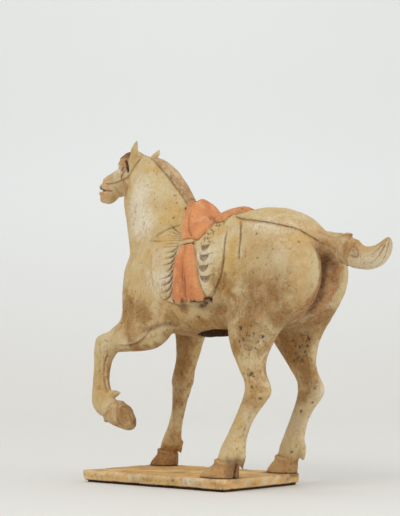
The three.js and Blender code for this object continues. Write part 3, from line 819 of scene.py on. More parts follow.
mane = {
    "edge": [
        (94, 7, 456.5), (84, 6.5, 455), (72, 7, 450), (60.1, 8.9, 441.9), (45.4, 11.1, 429.4),
        (31.9, 12.3, 417.2), (19.5, 12.3, 403.9), (7.7, 11.7, 390.7), (-2, 11.3, 377.8),
        (-8, 11, 369),
    ],
    "strands": 44,
}


def combMane():
    x, y, z = horse.place.T
    side = np.abs(y)
    bodyStroke(mane["edge"], cut(1.0, 1.6), 8, "line", 0.6, 1.5, taper=0.1)
    line = np.array([(a, c) for a, _, c in mane["edge"]])
    _, along = alongChain(np.stack([x, z], 1), curve(line, 4))
    above = z > np.interp(x, line[::-1, 0], line[::-1, 1]) - 1
    region = above & (x > -12) & (x < 94) & (z > 366) & (side < 13)
    soft = horse.relaxed(region.astype(np.float32), 3)
    comb = np.sin(along * 2 * math.pi * mane["strands"] + 0.5 * side)
    horse.lift += 0.3 * comb * soft
    horse.paint("hair", 0.9 * soft * (0.7 + 0.3 * comb))
    # a browner border as wide as a finger along the mane's foot
    rise = z - np.interp(x, line[::-1, 0], line[::-1, 1])
    border = soft * smoothStep(rise, 0, 1.5) * smoothStep(rise, 9.5, 7)
    horse.lift += 0.7 * border
    horse.paint("dirtAndShade", np.maximum(0.75 * border, 0.35 * soft))
    horse.paint("line", 0.6 * soft * bell(rise - 9.5, 1.0))


tail = {
    "axis": [
        (-196, 307), (-227, 307.5), (-242.5, 304.7), (-256.5, 302), (-267.5, 297.2), (-271, 295.5),
        (-286.7, 289.2), (-302, 290), (-313.5, 298.5), (-319.8, 308.5), (-321, 315),
    ],
    "length": 140,
    "wraps": 8,
    "flap": [
        (-262, 12, 306), (-266, 11, 311.5), (-273.1, 10, 307.7), (-282, 12, 299), (-281.5, 14, 292.1),
        (-272, 14.3, 294.3),
    ],
}


# Bound as far as the knot, with the binding's loose end on the side, then a brush with long grooves
def bindTail():
    x, y, z = horse.place.T
    axis = curve(tail["axis"], 4)
    _, along = alongChain(np.stack([x, z], 1), axis)
    height = np.interp(x, np.array(tail["axis"])[::-1, 0], np.array(tail["axis"])[::-1, 1])
    turn = np.arctan2(np.abs(y), z - height)
    onTail = smoothStep(x, -214, -224) * (np.abs(y) < 26) * (z > 262)
    distance = (along - 0.5) * tail["length"]  # from the knot
    bound = onTail * smoothStep(distance, 4, 1)
    drift = 0.7 * waves(horse.place, 16, 21, 8)
    winding = np.sin(along * 2 * math.pi * tail["wraps"] * 1.6 - turn * 2.6 + drift)
    strands = np.sin(turn * 9 - along * 26 + drift)
    nearKnot = smoothStep(distance, -24, -8)
    horse.lift += bound * (0.35 * winding * (0.35 + nearKnot) + 0.25 * strands)
    horse.paint("hair", 0.6 * bound)
    horse.paint("line", 0.55 * bound * smoothStep(-winding, 0.45, 1) * (0.3 + 0.7 * nearKnot))
    horse.paint("line", 0.5 * bound * smoothStep(-strands, 0.5, 1))
    horse.lift += onTail * (0.7 * bell(distance - 1, 2.4) - 0.7 * bell(distance - 5, 1.6))
    horse.paint("line", 0.5 * onTail * bell(distance - 5, 1.5))
    brush = onTail * smoothStep(distance, 3, 8)
    # combed grooves, closer and deeper towards the tip
    tip = smoothStep(along, 0.62, 0.95)
    lock = np.abs(np.sin(turn * 4.5 + 3.2 * along))
    fine = np.abs(np.sin(turn * 9 + 7 * along + 0.6))
    groove = smoothStep(lock, 0.34, 0.02) * (0.15 + 0.85 * tip) + 0.7 * smoothStep(fine, 0.3, 0.02) * tip
    horse.lift -= brush * 1.3 * np.clip(groove, 0, 1)
    horse.paint("line", 0.95 * brush * np.clip(groove, 0, 1) * (0.15 + 0.85 * tip))
    # slip over the brush, paler on the faces that do not turn up: slip, with a painted highlight against the
    # shade below
    horse.paint("slipAndHighlight", brush * (0.8 - 0.45 * smoothStep(horse.normal[:, 2], 0.2, 0.9)))
    bodyStroke(tail["flap"] + tail["flap"][:1], ridge(1.0, 2.2), 7, "hair", 0.7, 3, taper=0.01)
    bodyStroke([(a - 1.2, b, c - 1.8) for a, b, c in tail["flap"][2:]], cut(0.9, 1.2), 6, "line", 0.85, 1.4)
    # the knot's loop, and painted shade in the hollow under the root and in the crease round it
    horse.lift -= 0.9 * spot((-257, 8, 319), (1.8, 6, 3))
    horse.paint("line", 0.7 * spot((-257, 8, 318), (2.2, 7, 3)))
    horse.paint("shadeAndDarkPaint", 0.8 * spot((-236, 10, 293), (8, 10, 5)))
    horse.paint("shadeAndDarkPaint", 0.6 * spot((-226, 12, 300), (4, 8, 10)))


head = {
    "forelock": [
        (116, 20.5, 436), (116.7, 18, 446), (113, 12, 453), (106.9, 12.7, 454.6), (102.4, 17.3, 445),
        (100.5, 20.6, 432), (106, 21.5, 428.6), (112, 21.5, 430),
    ],
    "slit": [(108, 16.0, 447), (104.5, 18.2, 443), (101.3, 20, 438.3), (99.6, 20.8, 430.2), (101, 21.4, 426)],
    "eye": (107.5, 21, 434),
    "earFoot": (88, 18, 449),
    "earRise": (-10.5, 4, 22.4),  # from the foot to the left ear's tip
    "shortEar": 13.0,  # height of the chipped right ear
    "nostril": (161.5, 10.5, 413),
    # z and how far the muzzle's front is moved forward there
    "profile": [
        (391, 0), (396, 0.6), (401, 1.2), (405.5, 0.8), (409.7, -3.4), (414.5, 1.2), (418, -1.5),
        (422, -4.4), (426, -1.5), (430, 0),
    ],
    # how far up the ear, and how much wider than the solid's it is
    "earWidth": [(0, 1), (0.15, 0.9), (0.35, 1.05), (0.55, 1.2), (0.8, 1.35), (0.93, 1.4), (1, 1.2)],
    # how far back the ear's parts are moved
    "earBack": [(0, 0), (0.5, 0), (0.8, 1.5), (0.93, 3), (1, 4)],
    "shortEarBack": [(0, 0), (0.25, 2.5), (0.6, 3.8), (1, 2.5)],
}


def shapeFace():
    x, y, z = horse.place.T
    side = np.abs(y)
    # forelock: an oval tuft that hangs past the eye, darker at its top
    outline = curve(head["forelock"] + head["forelock"][:1], 4)[:-1]
    near = np.flatnonzero((x > 92) & (x < 126) & (z > 420) & (side > 5))
    tuft = np.zeros(len(x))
    tuft[near] = insideOutline(x[near], z[near], outline[:, [0, 2]])
    tuftArea = smoothStep(tuft, 0, 1.4) * (tuft > 0)
    crown = smoothStep(z - 0.35 * (x - 100), 440, 444) * smoothStep(x, 96, 100) * (z > 425)
    horse.lift += 1.3 * smoothStep(tuft, 0, 2.6) * (tuft > 0)
    locks = np.sin(np.arctan2(z - 462, x - 96) * 30)
    horse.lift += 0.3 * np.maximum(tuftArea, crown) * locks
    horse.paint("hair", np.maximum(tuftArea, crown))
    horse.paint("salmon", 0.28 * tuftArea * smoothStep(z, 452, 444))
    horse.paint("line", 0.6 * np.maximum(tuftArea, crown) * (0.5 + 0.5 * locks))
    horse.paint("shadeAndDarkPaint", 0.75 * crown * smoothStep(z, 446, 453))
    # the slit behind the eye is cut and painted dark as painted shade
    bodyStroke(head["slit"], cut(2.2, 1.6), 7, "shadeAndDarkPaint", 1.0, 1.9, taper=0.2)
    bodyStroke(head["slit"], cut(0.8, 1.2), 5, "hollowShade", 1.0, 1.5, taper=0.15)
    # eye: ball, pupil and lids
    ex, ey, ez = head["eye"]
    horse.lift += 0.9 * spot((ex, ey, ez), (4.2, 9, 3.0))
    upper = [
        (ex - 6.5, ey - 0.5, ez - 1), (ex - 3, ey + 0.6, ez + 3.2), (ex + 1.5, ey, ez + 3.6),
        (ex + 5.5, ey - 1, ez + 0.6),
    ]
    lower = [
        (ex - 6.5, ey - 0.5, ez - 1), (ex - 3, ey + 0.8, ez - 3.6), (ex + 2, ey + 0.2, ez - 3.8),
        (ex + 5.5, ey - 1, ez + 0.6),
    ]
    bodyStroke(upper, lambda gap: 1.1 * bell(gap, 1.1) - 0.6 * bell(gap - 2.2, 0.8), 6)
    bodyStroke(upper, cut(0.0, 1), 6, "line", 0.8, 0.9)
    bodyStroke(lower, ridge(0.8, 1.0), 5, "line", 0.45, 0.8)
    horse.paint("shadeAndDarkPaint", 0.9 * spot((ex - 0.5, ey, ez), (2.0, 7, 1.9)))
    # nostril, lips, chin and cheek
    nx, ny, nz = head["nostril"]
    ring = [(nx - 3.6, ny, nz - 1), (nx - 2, ny, nz + 3), (nx + 2, ny - 1, nz + 3.4), (nx + 4.5, ny - 2, nz)]
    bodyStroke(ring, ridge(1.1, 1.3), 5, "line", 0.3, 1.0)
    horse.lift += 1.3 * spot((nx + 4.5, ny - 1, nz - 1.5), (2.6, 4, 1.8))
    horse.lift -= 2.0 * spot((nx + 0.5, ny, nz - 0.5), (2.4, 4, 2.0))
    # painted shade inside the nostril
    horse.paint("shadeAndDarkPaint", 0.95 * spot((nx + 0.5, ny, nz - 0.5), (2.6, 5, 2.1)))
    horse.paint("hollowShade", 0.8 * spot((nx + 0.5, ny, nz - 0.5), (1.8, 4, 1.5)))
    lips = [
        (167, 3, 408.5), (164, 9, 408.8), (156.9, 12.2, 408.2), (151.2, 12.4, 406.9),
        (144.1, 12, 405.6), (137, 13, 405.2),
    ]
    bodyStroke(lips, cut(2.4, 1.4), 6, "line", 0.7, 1.3, taper=0.12)
    # painted shade in the gap between the lips
    bodyStroke(lips[:4], cut(0.6, 1.4), 6, "shadeAndDarkPaint", 0.95, 1.7, taper=0.2)
    bodyStroke([(a, b, c + 3.2) for a, b, c in lips[:4]], ridge(0.7, 1.5), 6, "pink", 0.6, 2.2)
    bodyStroke([(a, b, c - 3.4) for a, b, c in lips[:4]], ridge(0.8, 1.6), 6, "pink", 0.7, 2.2)
    bodyStroke([(163, 6, 397), (157, 9, 396), (151, 10, 398)], cut(0.7, 1.4), 5, "line", 0.3, 1.6)
    bodyStroke(
        [(120, 18.5, 428), (132, 15.5, 425), (144, 12.5, 422.5), (152, 10.5, 423)], cut(0.8, 1.7), 6,
        "line", 0.2, 2,
    )
    # painted shade along the back of the cheek
    bodyStroke(
        [(107, 21.4, 416), (108.5, 21.2, 409), (112, 19, 401), (118, 15, 398)], cut(0.9, 1.9), 6,
        "dirtAndShade", 0.8, 4,
    )
    for blob in (
        (150, 12, 412), (156, 12, 402), (157, 11, 420), (116, 18, 407), (148, 11, 398), (164, 8, 398),
    ):
        horse.paint("pink", 1.0 * spot(blob, (7, 9, 6)))
    for blob in ((132, 16, 411), (126, 16, 402), (98, 23, 420), (112, 20, 424), (140, 12, 396)):
        horse.paint("dirtAndShade", 0.7 * spot(blob, (9, 9, 6)))
    # the fold behind the cheek: pink paint, darkened with painted shade
    for blob in ((106, 21.5, 416), (108, 21, 408)):
        horse.paint("pink", 1.0 * spot(blob, (3, 9, 7)))
        horse.paint("dirtAndShade", 0.9 * spot(blob, (4, 9, 8)))
    horse.paint("slipAndHighlight", spot((101.5, 21, 424), (2.5, 6, 2.5)))
    for fold in (
        [(91.5, 24, 417), (90.9, 25.9, 405.4), (87.2, 27.3, 397)],
        [(83.5, 23.1, 421), (82.6, 25.4, 410)],
        [(96, 24, 412), (95.5, 25.5, 401)],
        [(100, 20, 400), (97, 22, 388), (96, 24, 376)],
    ):
        bodyStroke(fold, cut(0.7, 1.2), 6, "line", 0.4, 1.2, taper=0.3)
    # ears: a hollow that opens outwards and forwards, darkened with the line colour as painted shade
    ear = curve([(91, 17.5, 449), (86, 20.5, 458), (81, 23, 466)], 4)
    gap, _ = alongChain(horse.mirror, ear)
    facing = smoothStep(horse.mirrorNormal[:, 0] * 0.6 + horse.mirrorNormal[:, 1] * 0.75, 0.35, 0.85)
    hollow = facing * bell(gap, 3.0) * smoothStep(z, 447, 451) * (x < 104)
    horse.lift -= 1.5 * hollow
    horse.paint("line", 0.6 * hollow)


# The muzzle's outline steps in above the nostril and at the mouth, and the ears are leaf-shaped.
def reshapeHead():
    x, y, z = horse.place.T
    nose = np.interp(z, *zip(*head["profile"])) * smoothStep(x, 146, 162) * (z > 388)
    ear = smoothStep(z, 449, 452) * (np.abs(y) > 9) * (x < 104)
    foot, rise = head["earFoot"], head["earRise"]
    share = np.clip((z - foot[2]) / np.where(y > 0, rise[2], head["shortEar"]), 0, 1)
    middle = np.array(foot) + np.outer(share * np.where(y > 0, 1, 0.6), rise)
    middle[:, 1] *= np.sign(y)
    wider = np.interp(share, *zip(*head["earWidth"])) - 1
    back = np.where(
        y > 0, np.interp(share, *zip(*head["earBack"])),
        np.interp(share, *zip(*head["shortEarBack"])),
    )
    shift = (horse.place - middle) * (ear * wider)[:, None]
    shift[:, 2] = 0
    shift[:, 0] += nose - ear * back
    throat = mound(x - 114, 13, z - 397, 11)
    shift[:, 0] -= 4 * throat
    shift[:, 2] += 9 * throat
    clasp = smoothStep(-x, 250, 254) * smoothStep(-x, 278, 272) * np.clip(z - 317, 0, 12)
    shift[:, 2] -= 0.45 * clasp
    horse.place += shift.astype(np.float32)
    horse.refresh()


reshapeHead()
harnessMarks()
combMane()
bindTail()
shapeFace()
horse.settle(3.5)

print("stage: legs and hooves")

feet = {
    # x of the heel and the toe, y of the middle, depth of the split behind, amount of soil and painted shade
    # at the hoof's foot
    "hindLeft": (-125, -82, 58, 3.0, 0.5),
    "hindRight": (-128, -85, -61, 0.3, 0.25),
    "foreRight": (82, 123, -59, 1.2, 1.0),
    # how far each hoof's crown is moved back and its toe forward
    "slant": {"hindLeft": (15, 9), "hindRight": (17, -2), "foreRight": (13, 0)},
    "crownHeight": (35, 46),  # top of the hoof's wall, at the heel and at the toe
}
raisedHoof = {
    "start": (104, 46, 108), "along": (-0.786, 0, -0.618), "crown": 9.5, "middle": (92, 47, 92),
    "sole": (75, 47, 88),
}


def shapeFoot(heel, toe, middle, splitDepth, soilAndShade):
    x, y, z = horse.place.T
    along = (x - heel) / (toe - heel)
    near = smoothStep(z, 60, 54) * (np.abs(y - middle) < 26) * (x > heel - 22) * (x < toe + 10)
    low, high = feet["crownHeight"]
    step = z - (low + (high - low) * np.clip(along, 0, 1))
    wall = 1.3 * bell(step + 2.6, 2.4) - 1.1 * bell(step - 0.9, 1.3)
    horse.lift += near * wall * smoothStep(along, -0.1, 0.25)
    horse.lift += near * 1.0 * mound(along - 0.6, 0.2, step + 1.6, 2.6)
    horse.lift += near * 0.14 * np.sin(z * 1.5) * smoothStep(step, 0, -3)
    horse.paint("line", near * 0.8 * bell(step - 0.7, 1.1) * smoothStep(along, -0.1, 0.3))
    horse.paint("hair", near * 0.65 * smoothStep(step, 1, -1))
    horse.paint("pink", near * 0.25 * smoothStep(step, 1, -1))
    horse.paint("ochre", near * 0.6 * smoothStep(z, 60, 40))
    # the hoof darkens towards the plinth: soil, with painted shade
    horse.paint("dirtAndShade", near * soilAndShade * smoothStep(z, 58, 38))
    # the split between the heel's bulbs, and the hollow behind the fetlock, painted dark as painted shade;
    # the heel's lower rear is darkened with painted shade too
    split = near * bell(y - middle, 2.6) * smoothStep(along, 0.22, 0.02) * smoothStep(z, 40, 34)
    split *= smoothStep(x, heel - 9, heel - 4)  # not on the tuft
    horse.lift -= splitDepth * split
    horse.paint("shadeAndDarkPaint", 0.34 * splitDepth * np.clip(1.3 * split, 0, 1))
    behind = near * smoothStep(along, 0.2, 0.02) * smoothStep(z, 44, 38)
    horse.paint("shadeAndDarkPaint", 0.2 * splitDepth * behind)
    horse.paint("dirtAndShade", 0.7 * near * smoothStep(z, 46, 30) * smoothStep(along, 0.4, 0.0))


def shapeRaisedHoof():
    x, y, z = horse.place.T
    start = np.array(raisedHoof["start"])
    along = (horse.place - start) @ np.array(raisedHoof["along"])
    near = (x > 68) & (x < 118) & (y > 22) & (z < 118)
    ax, _, az = raisedHoof["along"]
    mx, my, mz = raisedHoof["middle"]
    around = np.arctan2(y - my, (z - mz) * ax - (x - mx) * az)
    lumps = 1 + 0.5 * np.sin(around * 5 + 0.6)
    crown = raisedHoof["crown"]
    horse.lift += near * lumps * (1.6 * bell(along - crown - 1.8, 2.0) - 1.2 * bell(along - crown + 1.6, 1.4))
    horse.paint("line", near * 0.75 * bell(along - crown + 1.4, 1.4))
    horse.paint("hair", near * 0.45 * smoothStep(along, crown - 1, crown + 1))
    # the sole: a dished face with a rim and a wedge in its middle
    _, sy, sz = raisedHoof["sole"]
    face = near * smoothStep(-horse.normal[:, 0], 0.55, 0.85) * smoothStep(x, 84, 79)
    reach = np.hypot((y - sy) / 15, (z - sz) / 18)
    horse.lift -= face * 1.3 * smoothStep(reach, 0.92, 0.72)
    wedge = bell(y - sy, 2.0 + 0.25 * np.clip(sz + 12 - z, 0, 20)) * smoothStep(z, sz - 13, sz - 5)
    horse.lift += face * 1.1 * wedge * smoothStep(reach, 0.8, 0.6)
    horse.paint("dirtAndShade", 0.7 * face)
    horse.paint("line", 0.7 * face * bell(reach - 0.86, 0.08))


# The forearm's top is filled, the toes are slanted, the cleft under the tail is pressed in and the raised
# hoof's sole is turned a little outwards and down.
def refineLegs():
    x, y, z = horse.place.T
    forearm = bell(x - 90, 15) * smoothStep(z, 188, 206) * smoothStep(y, 10, 30) * (z < 235)
    horse.place[:, 2] += (5.5 * forearm).astype(np.float32)
    for name, (back, forward) in feet["slant"].items():
        heel, toe, middle = feet[name][:3]
        along = smoothStep(x, heel + 0.3 * (toe - heel), toe) * (np.abs(y - middle) < 26) * (x < toe + 12)
        shift = forward * smoothStep(z, 42, 16) - back * smoothStep(z, 18, 46) * smoothStep(z, 68, 48)
        horse.place[:, 0] += (along * shift).astype(np.float32)
    cleft = bell(y, 8.5) * smoothStep(-x, 183, 205) * smoothStep(z, 302, 284) * smoothStep(z, 160, 190)
    horse.place[:, 0] += (9 * cleft * (x > -236)).astype(np.float32)
    _, sy, sz = raisedHoof["sole"]
    share = smoothStep(x, 96, 77) * (y > 22) * (z < 116) * (x > 60)
    shear = 7.0 * np.clip((y - sy + 3) / 17, -0.1, 1) - 6.0 * np.clip((sz + 2 - z) / 19, -0.1, 1)
    horse.place[:, 0] += (share * shear).astype(np.float32)
    horse.refresh()


def modelLegs():
    left, right = 1, -1
    # raised leg: the forearm's muscle line and the tendon behind the cannon
    forearm = [
        (88, 58, 184), (78.6, 59.2, 184.2), (52.7, 60.2, 185), (34.4, 61.1, 190.7),
        (22.4, 61.8, 200.3), (16.1, 61, 210.6), (15, 60, 220),
    ]
    bodyStroke(forearm, cut(1.3, 2.2), 9, "line", 0.35, 1.8, taper=0.25, only=left)
    bodyStroke(
        [(a, b, c + 4) for a, b, c in forearm], ridge(0.9, 2.6), 9, "slipAndHighlight", 0.8, 2.2, taper=0.25,
        only=left,
    )
    tendon = [
        (101, 55, 179), (103.5, 54.5, 174), (111, 52.9, 162), (113.6, 51.8, 144.8),
        (111.2, 50.1, 127.6), (105.1, 51.6, 119.2),
    ]
    bodyStroke(tendon, cut(1.9, 1.9), 8, "line", 0.45, 1.5, taper=0.15, only=left)
    bodyStroke(
        [(a - 4.5, b, c) for a, b, c in tendon], ridge(0.7, 2.0), 8, "pink", 0.55, 2.2, taper=0.2,
        only=left,
    )
    # elbow, flank and thigh, with painted shade in the fold behind the elbow and in the groove of the flank
    bodyStroke(
        [(30, 60, 203), (16, 60.5, 208), (4, 55, 211.5), (-6, 47, 211.5), (-12, 38, 207)],
        cut(1.5, 4), 14, "shadeAndDarkPaint", 0.5, 3, only=left,
    )
    horse.lift -= 1.4 * spot((-5.3, 46.4, 211.6), (4, 5, 4))
    horse.paint("shadeAndDarkPaint", 0.8 * spot((-5.3, 46.4, 211.6), (2.2, 4, 2.2)))
    bodyStroke(
        [(-100, 63, 246), (-103, 64, 228), (-110, 65, 212), (-124, 64, 200)], cut(1.3, 6), 20, "dirtAndShade",
        0.35, 6,
    )
    bodyStroke([(-142, 64, 176), (-152, 63.5, 160), (-160, 63, 146)], cut(1.1, 4), 14)
    bodyStroke([(-166, 55, 158), (-170, 54, 144), (-172, 52, 130)], ridge(0.9, 3.4), 12)
    bodyStroke([(-158, 59, 146), (-164, 58, 132), (-166, 57, 122)], cut(1.3, 2.6), 10, "line", 0.12, 2)
    bodyStroke(
        [(-160, 58, 112), (-150, 60, 92), (-140, 61, 70), (-134, 61, 58)], cut(0.9, 2.2), 8, "line",
        0.12, 2,
    )
    # standing foreleg: knee and tendon
    bodyStroke([(44, 55, 128), (53, 58, 126), (62, 57, 127)], cut(0.6, 2.4), 9, only=right)
    bodyStroke([(46, 55, 112), (54, 58, 110), (63, 57, 112)], cut(0.6, 2.4), 9, only=right)
    bodyStroke([(60, 60, 108), (68, 61, 88), (76, 62, 66)], cut(0.8, 2.0), 8, only=right)


def openVent():
    x, y, z = horse.place.T
    (mx, my), (hx, hy) = vent["middle"], vent["half"]
    reach = np.hypot((x - mx) / hx, (y - my) / hy)
    low = smoothStep(z, 216, 211)
    inside = smoothStep(reach, 1.0, 0.88) * low
    horse.place[:, 2] += (vent["deepen"] * inside).astype(np.float32)
    # painted shade: the vent's inside, and a strip of the belly's far side beside it, are painted dark
    horse.paint("shadeAndDarkPaint", smoothStep(reach, 1.07, 0.98) * low * smoothStep(z, 214, 210))
    horse.paint("hollowShade", 0.9 * smoothStep(reach, 1.07, 0.98) * low * smoothStep(z, 214, 210))
    far = smoothStep(-y, 2, 9) * smoothStep(y, -30, -22) * smoothStep(np.abs(x - mx), 50, 40) * low
    horse.paint("shadeAndDarkPaint", 0.95 * far)
    horse.paint("hollowShade", 0.7 * far)
    horse.refresh()


refineLegs()
openVent()
for name in ("hindLeft", "hindRight", "foreRight"):
    shapeFoot(*feet[name])
shapeRaisedHoof()
modelLegs()
horse.settle(3.5)

print("stage: wear")

pits = {
    # x, y and z of the larger pits, their radius, and how long they are
    "placed": [
        (-141.6, 65.6, 204.5, 2.1, 1.3), (-155.7, 64.9, 196, 1.3, 1), (-170.6, 58.5, 193.2, 1.9, 1.2),
        (-139.4, 65.3, 188.5, 1.4, 1.2), (-160.8, 61.3, 179.4, 1.1, 1),
        (-154.7, 62.2, 148.3, 2.4, 1.1), (-151.5, 62.5, 146.5, 1.5, 1), (-157.5, 62, 145, 1.4, 1.2),
        (-156.6, 63.9, 131.8, 1.5, 1.4), (-168.2, 60.3, 117, 1.8, 1), (-172, -33.7, 193.5, 1.5, 1.6),
        (-175, -34, 191, 1.5, 1.6), (-169.3, -36.6, 182.9, 1.5, 1), (-163.8, -36.8, 174.8, 1.2, 1.5),
        (-173.8, -44.5, 128.5, 1.2, 1), (-168.2, -48.7, 110, 1.5, 1), (-152, -46, 98.6, 1.3, 1),
        (-149.5, -46.5, 98, 1.6, 1), (-132.9, -49.6, 45.2, 1.4, 1), (17.6, 14.4, 389, 1.1, 1),
        (11.2, 15.7, 378.5, 1.1, 1), (-2, 12.4, 370.2, 1.8, 1), (10.2, 24.8, 357.9, 1.3, 1.3),
        (-160.1, 56, 323.5, 1.0, 2.4), (-58.2, 51.2, 220.7, 1.4, 1), (-102.4, 15.1, 362.8, 1.3, 1),
        (-148.3, 64, 295, 0.9, 1), (-166.3, 62.6, 292.6, 1.3, 0.7), (-214.3, 40, 311.1, 1.1, 1.5),
    ],
    # x, y and z of the middle of a scatter, its spread, number and size
    "scattered": [
        ((-148, 63, 190), (20, 4, 24), 34, (0.5, 1.2)),
        ((-152, 62, 140), (10, 4, 20), 12, (0.5, 1.0)),
        ((-160, -46, 175), (14, 14, 26), 44, (0.6, 1.4)),
        ((-150, -56, 105), (14, 8, 36), 12, (0.5, 1.1)),
        ((-160, 60, 270), (45, 8, 40), 26, (0.4, 0.8)),
        ((-30, 60, 222), (70, 8, 22), 26, (0.4, 1.0)),
        ((40, 34, 375), (34, 12, 34), 16, (0.4, 0.8)),
        ((60, -58, 120), (30, 14, 60), 60, (0.5, 1.3)),
        ((66, 56, 240), (34, 8, 36), 34, (0.5, 1.1)),
        ((100, 56, 150), (14, 10, 44), 20, (0.4, 0.9)),
        ((-140, 60, 80), (14, 10, 36), 26, (0.4, 1.0)),
        ((90, 58, 170), (40, 6, 24), 12, (0.4, 0.8)),
        ((-60, -62, 270), (110, 12, 60), 50, (0.5, 1.2)),
        ((0, 0, 34), (130, 64, 12), 30, (0.5, 1.2)),
        ((-60, 0, 350), (120, 50, 30), 24, (0.4, 0.9)),
    ],
    "scratches": 120,
}


def pressPit(centre, radius, height, strength=1.0):
    nearest = np.argmin(((horse.place - centre) ** 2).sum(1))
    centre = horse.place[nearest]
    rows = np.flatnonzero(np.abs(horse.place - centre).max(1) < 4 * radius * max(height, 1))
    away = (horse.place[rows] - centre) / np.array([1, 1, height])
    wobble = 1 + 0.28 * waves(horse.place[rows], 2.6 * radius, nearest, 8)
    hole = bell(np.linalg.norm(away, axis=1), radius * wobble)
    horse.lift[rows] -= 0.75 * radius * strength * hole
    # each pit is darkened with painted shade
    horse.paint("hollowShade", np.clip(1.25 * hole * strength, 0, 1), rows)


def weather():
    random = np.random.default_rng(31)
    for x, y, z, radius, height in pits["placed"]:
        pressPit(np.array([x, y, z]), radius, height)
    for centre, spread, count, size in pits["scattered"]:
        places = random.normal(0, 0.6, (count, 3)) * np.array(spread) + np.array(centre)
        for place, radius in zip(places, random.uniform(size[0], size[1], count)):
            pressPit(place, radius, random.uniform(0.8, 1.6), random.uniform(0.35, 0.9))
    # short scratches at all angles
    for _ in range(pits["scratches"]):
        start = horse.place[random.integers(len(horse.place))].astype(float)
        way = random.normal(size=3) * np.array([1, 1, 1.6])
        end = start + way / np.linalg.norm(way) * random.uniform(4, 14)
        rows = np.flatnonzero(np.abs(horse.place - (start + end) / 2).max(1) < 12)
        gap, along = alongChain(horse.place[rows], np.array([start, end]), horse.normal[rows])
        mark = bell(gap, 0.7) * smoothStep(along, 0, 0.3) * smoothStep(1 - along, 0, 0.3)
        horse.lift[rows] -= 0.35 * mark
        horse.paint("line" if random.random() < 0.6 else "worn", 0.6 * mark, rows)
    face = smoothStep(horse.place[:, 0], 84, 96) * (horse.place[:, 2] > 385)
    quiet = 1 - 0.75 * np.clip(horse.paints["salmon"] + face, 0, 1)
    horse.lift += horseBody["unevenness"] * waves(horse.place, 26, 11) * quiet
    horse.lift += 0.15 * waves(horse.place, 9, 12) * quiet
    horse.lift[horse.place[:, 2] < 16.6] = 0


weather()
horse.settle(3)

# Broad areas of whitish slip, yellow ochre and brown dirt; the dirt over the lower rump, haunch and thigh is
# painted shade as well as dirt: x, z, reach along x and z, strength
stainsLightAndShade = {
    "slipAndHighlight": [
        (70, 385, 24, 36, 1.0), (58, 350, 26, 26, 1.0), (-175, 334, 44, 20, 0.7),
        (-206, 286, 18, 30, 0.5), (-182, 280, 30, 46, 0.45), (26, 276, 14, 26, 0.6),
        (-176, 250, 26, 22, 0.25), (119, 150, 8, 40, 0.25), (-150, 92, 16, 40, 0.85),
        (118, 428, 20, 16, 1.0), (6, 262, 14, 26, 0.7), (60, 415, 16, 10, 0.35),
        (-160, 170, 18, 24, 0.4), (64, 198, 24, 8, 0.9),
    ],
    "ochre": [
        (14, 356, 20, 26, 1.0), (50, 428, 24, 9, 0.8), (-125, 300, 9, 34, 1.0),
        (-65, 208, 46, 12, 0.65), (-190, 238, 30, 14, 0.3), (90, 404, 14, 16, 0.6),
        (-210, 316, 12, 12, 0.6), (-4, 330, 22, 16, 0.8), (60, 190, 40, 14, 0.4),
        (-134, 160, 20, 30, 0.35), (-120, 345, 20, 8, 0.6), (34, 310, 26, 16, 0.45),
        (-150, 352, 40, 8, 0.5), (-240, 316, 22, 6, 0.5), (-130, 60, 16, 20, 0.4),
        (-112, 262, 22, 34, 1.0), (60, 250, 30, 26, 0.8), (-190, 250, 30, 24, 0.2),
        (108, 140, 16, 44, 0.9), (-145, 205, 26, 30, 0.6),
    ],
    "dirtAndShade": [
        (58, 238, 30, 30, 0.85), (24, 224, 30, 20, 0.75), (-110, 258, 18, 26, 0.95),
        (-100, 228, 22, 18, 0.9), (-72, 214, 50, 9, 0.6), (-140, 230, 22, 12, 0.6),
        (-134, 184, 26, 22, 0.45), (-138, 112, 16, 12, 0.35), (50, 180, 14, 34, 0.75),
        (-240, 300, 14, 18, 0.55), (92, 88, 22, 12, 0.3), (-120, 34, 22, 12, 0.2),
        (98, 32, 26, 10, 0.3), (86, 206, 14, 12, 0.4), (-158, 116, 10, 10, 0.6),
        (44, 200, 16, 12, 0.55), (60, 104, 34, 70, 0.7), (-200, 236, 18, 40, 0.3),
        (100, 150, 20, 40, 0.3), (-266, 304, 34, 26, 0.55), (-312, 316, 16, 24, 0.55),
        (76, 58, 16, 14, 0.5), (-145, 100, 30, 60, 0.3), (116, 140, 14, 50, 0.4),
        (-60, 196, 50, 12, 0.6), (-176, 240, 34, 26, 0.85), (-196, 214, 18, 24, 0.9),
        (-150, 196, 26, 34, 0.8), (-205, 262, 14, 24, 0.35), (104, 404, 10, 12, 0.45),
        (-20, 252, 20, 14, 0.4), (-100, 276, 10, 16, 0.5), (-38, 232, 14, 7, 0.8),
        (-10, 222, 16, 10, 0.5), (78, 268, 14, 20, 0.4), (-150, 270, 46, 34, 0.36),
        (112, 408, 14, 10, 0.6), (-20, 200, 60, 10, 0.5), (-165, 190, 22, 40, 0.4),
        (-168, 140, 12, 24, 0.55), (100, 400, 10, 14, 0.5), (-92, 198, 20, 10, 0.9),
        (-150, 238, 40, 20, 0.5),
    ],
}


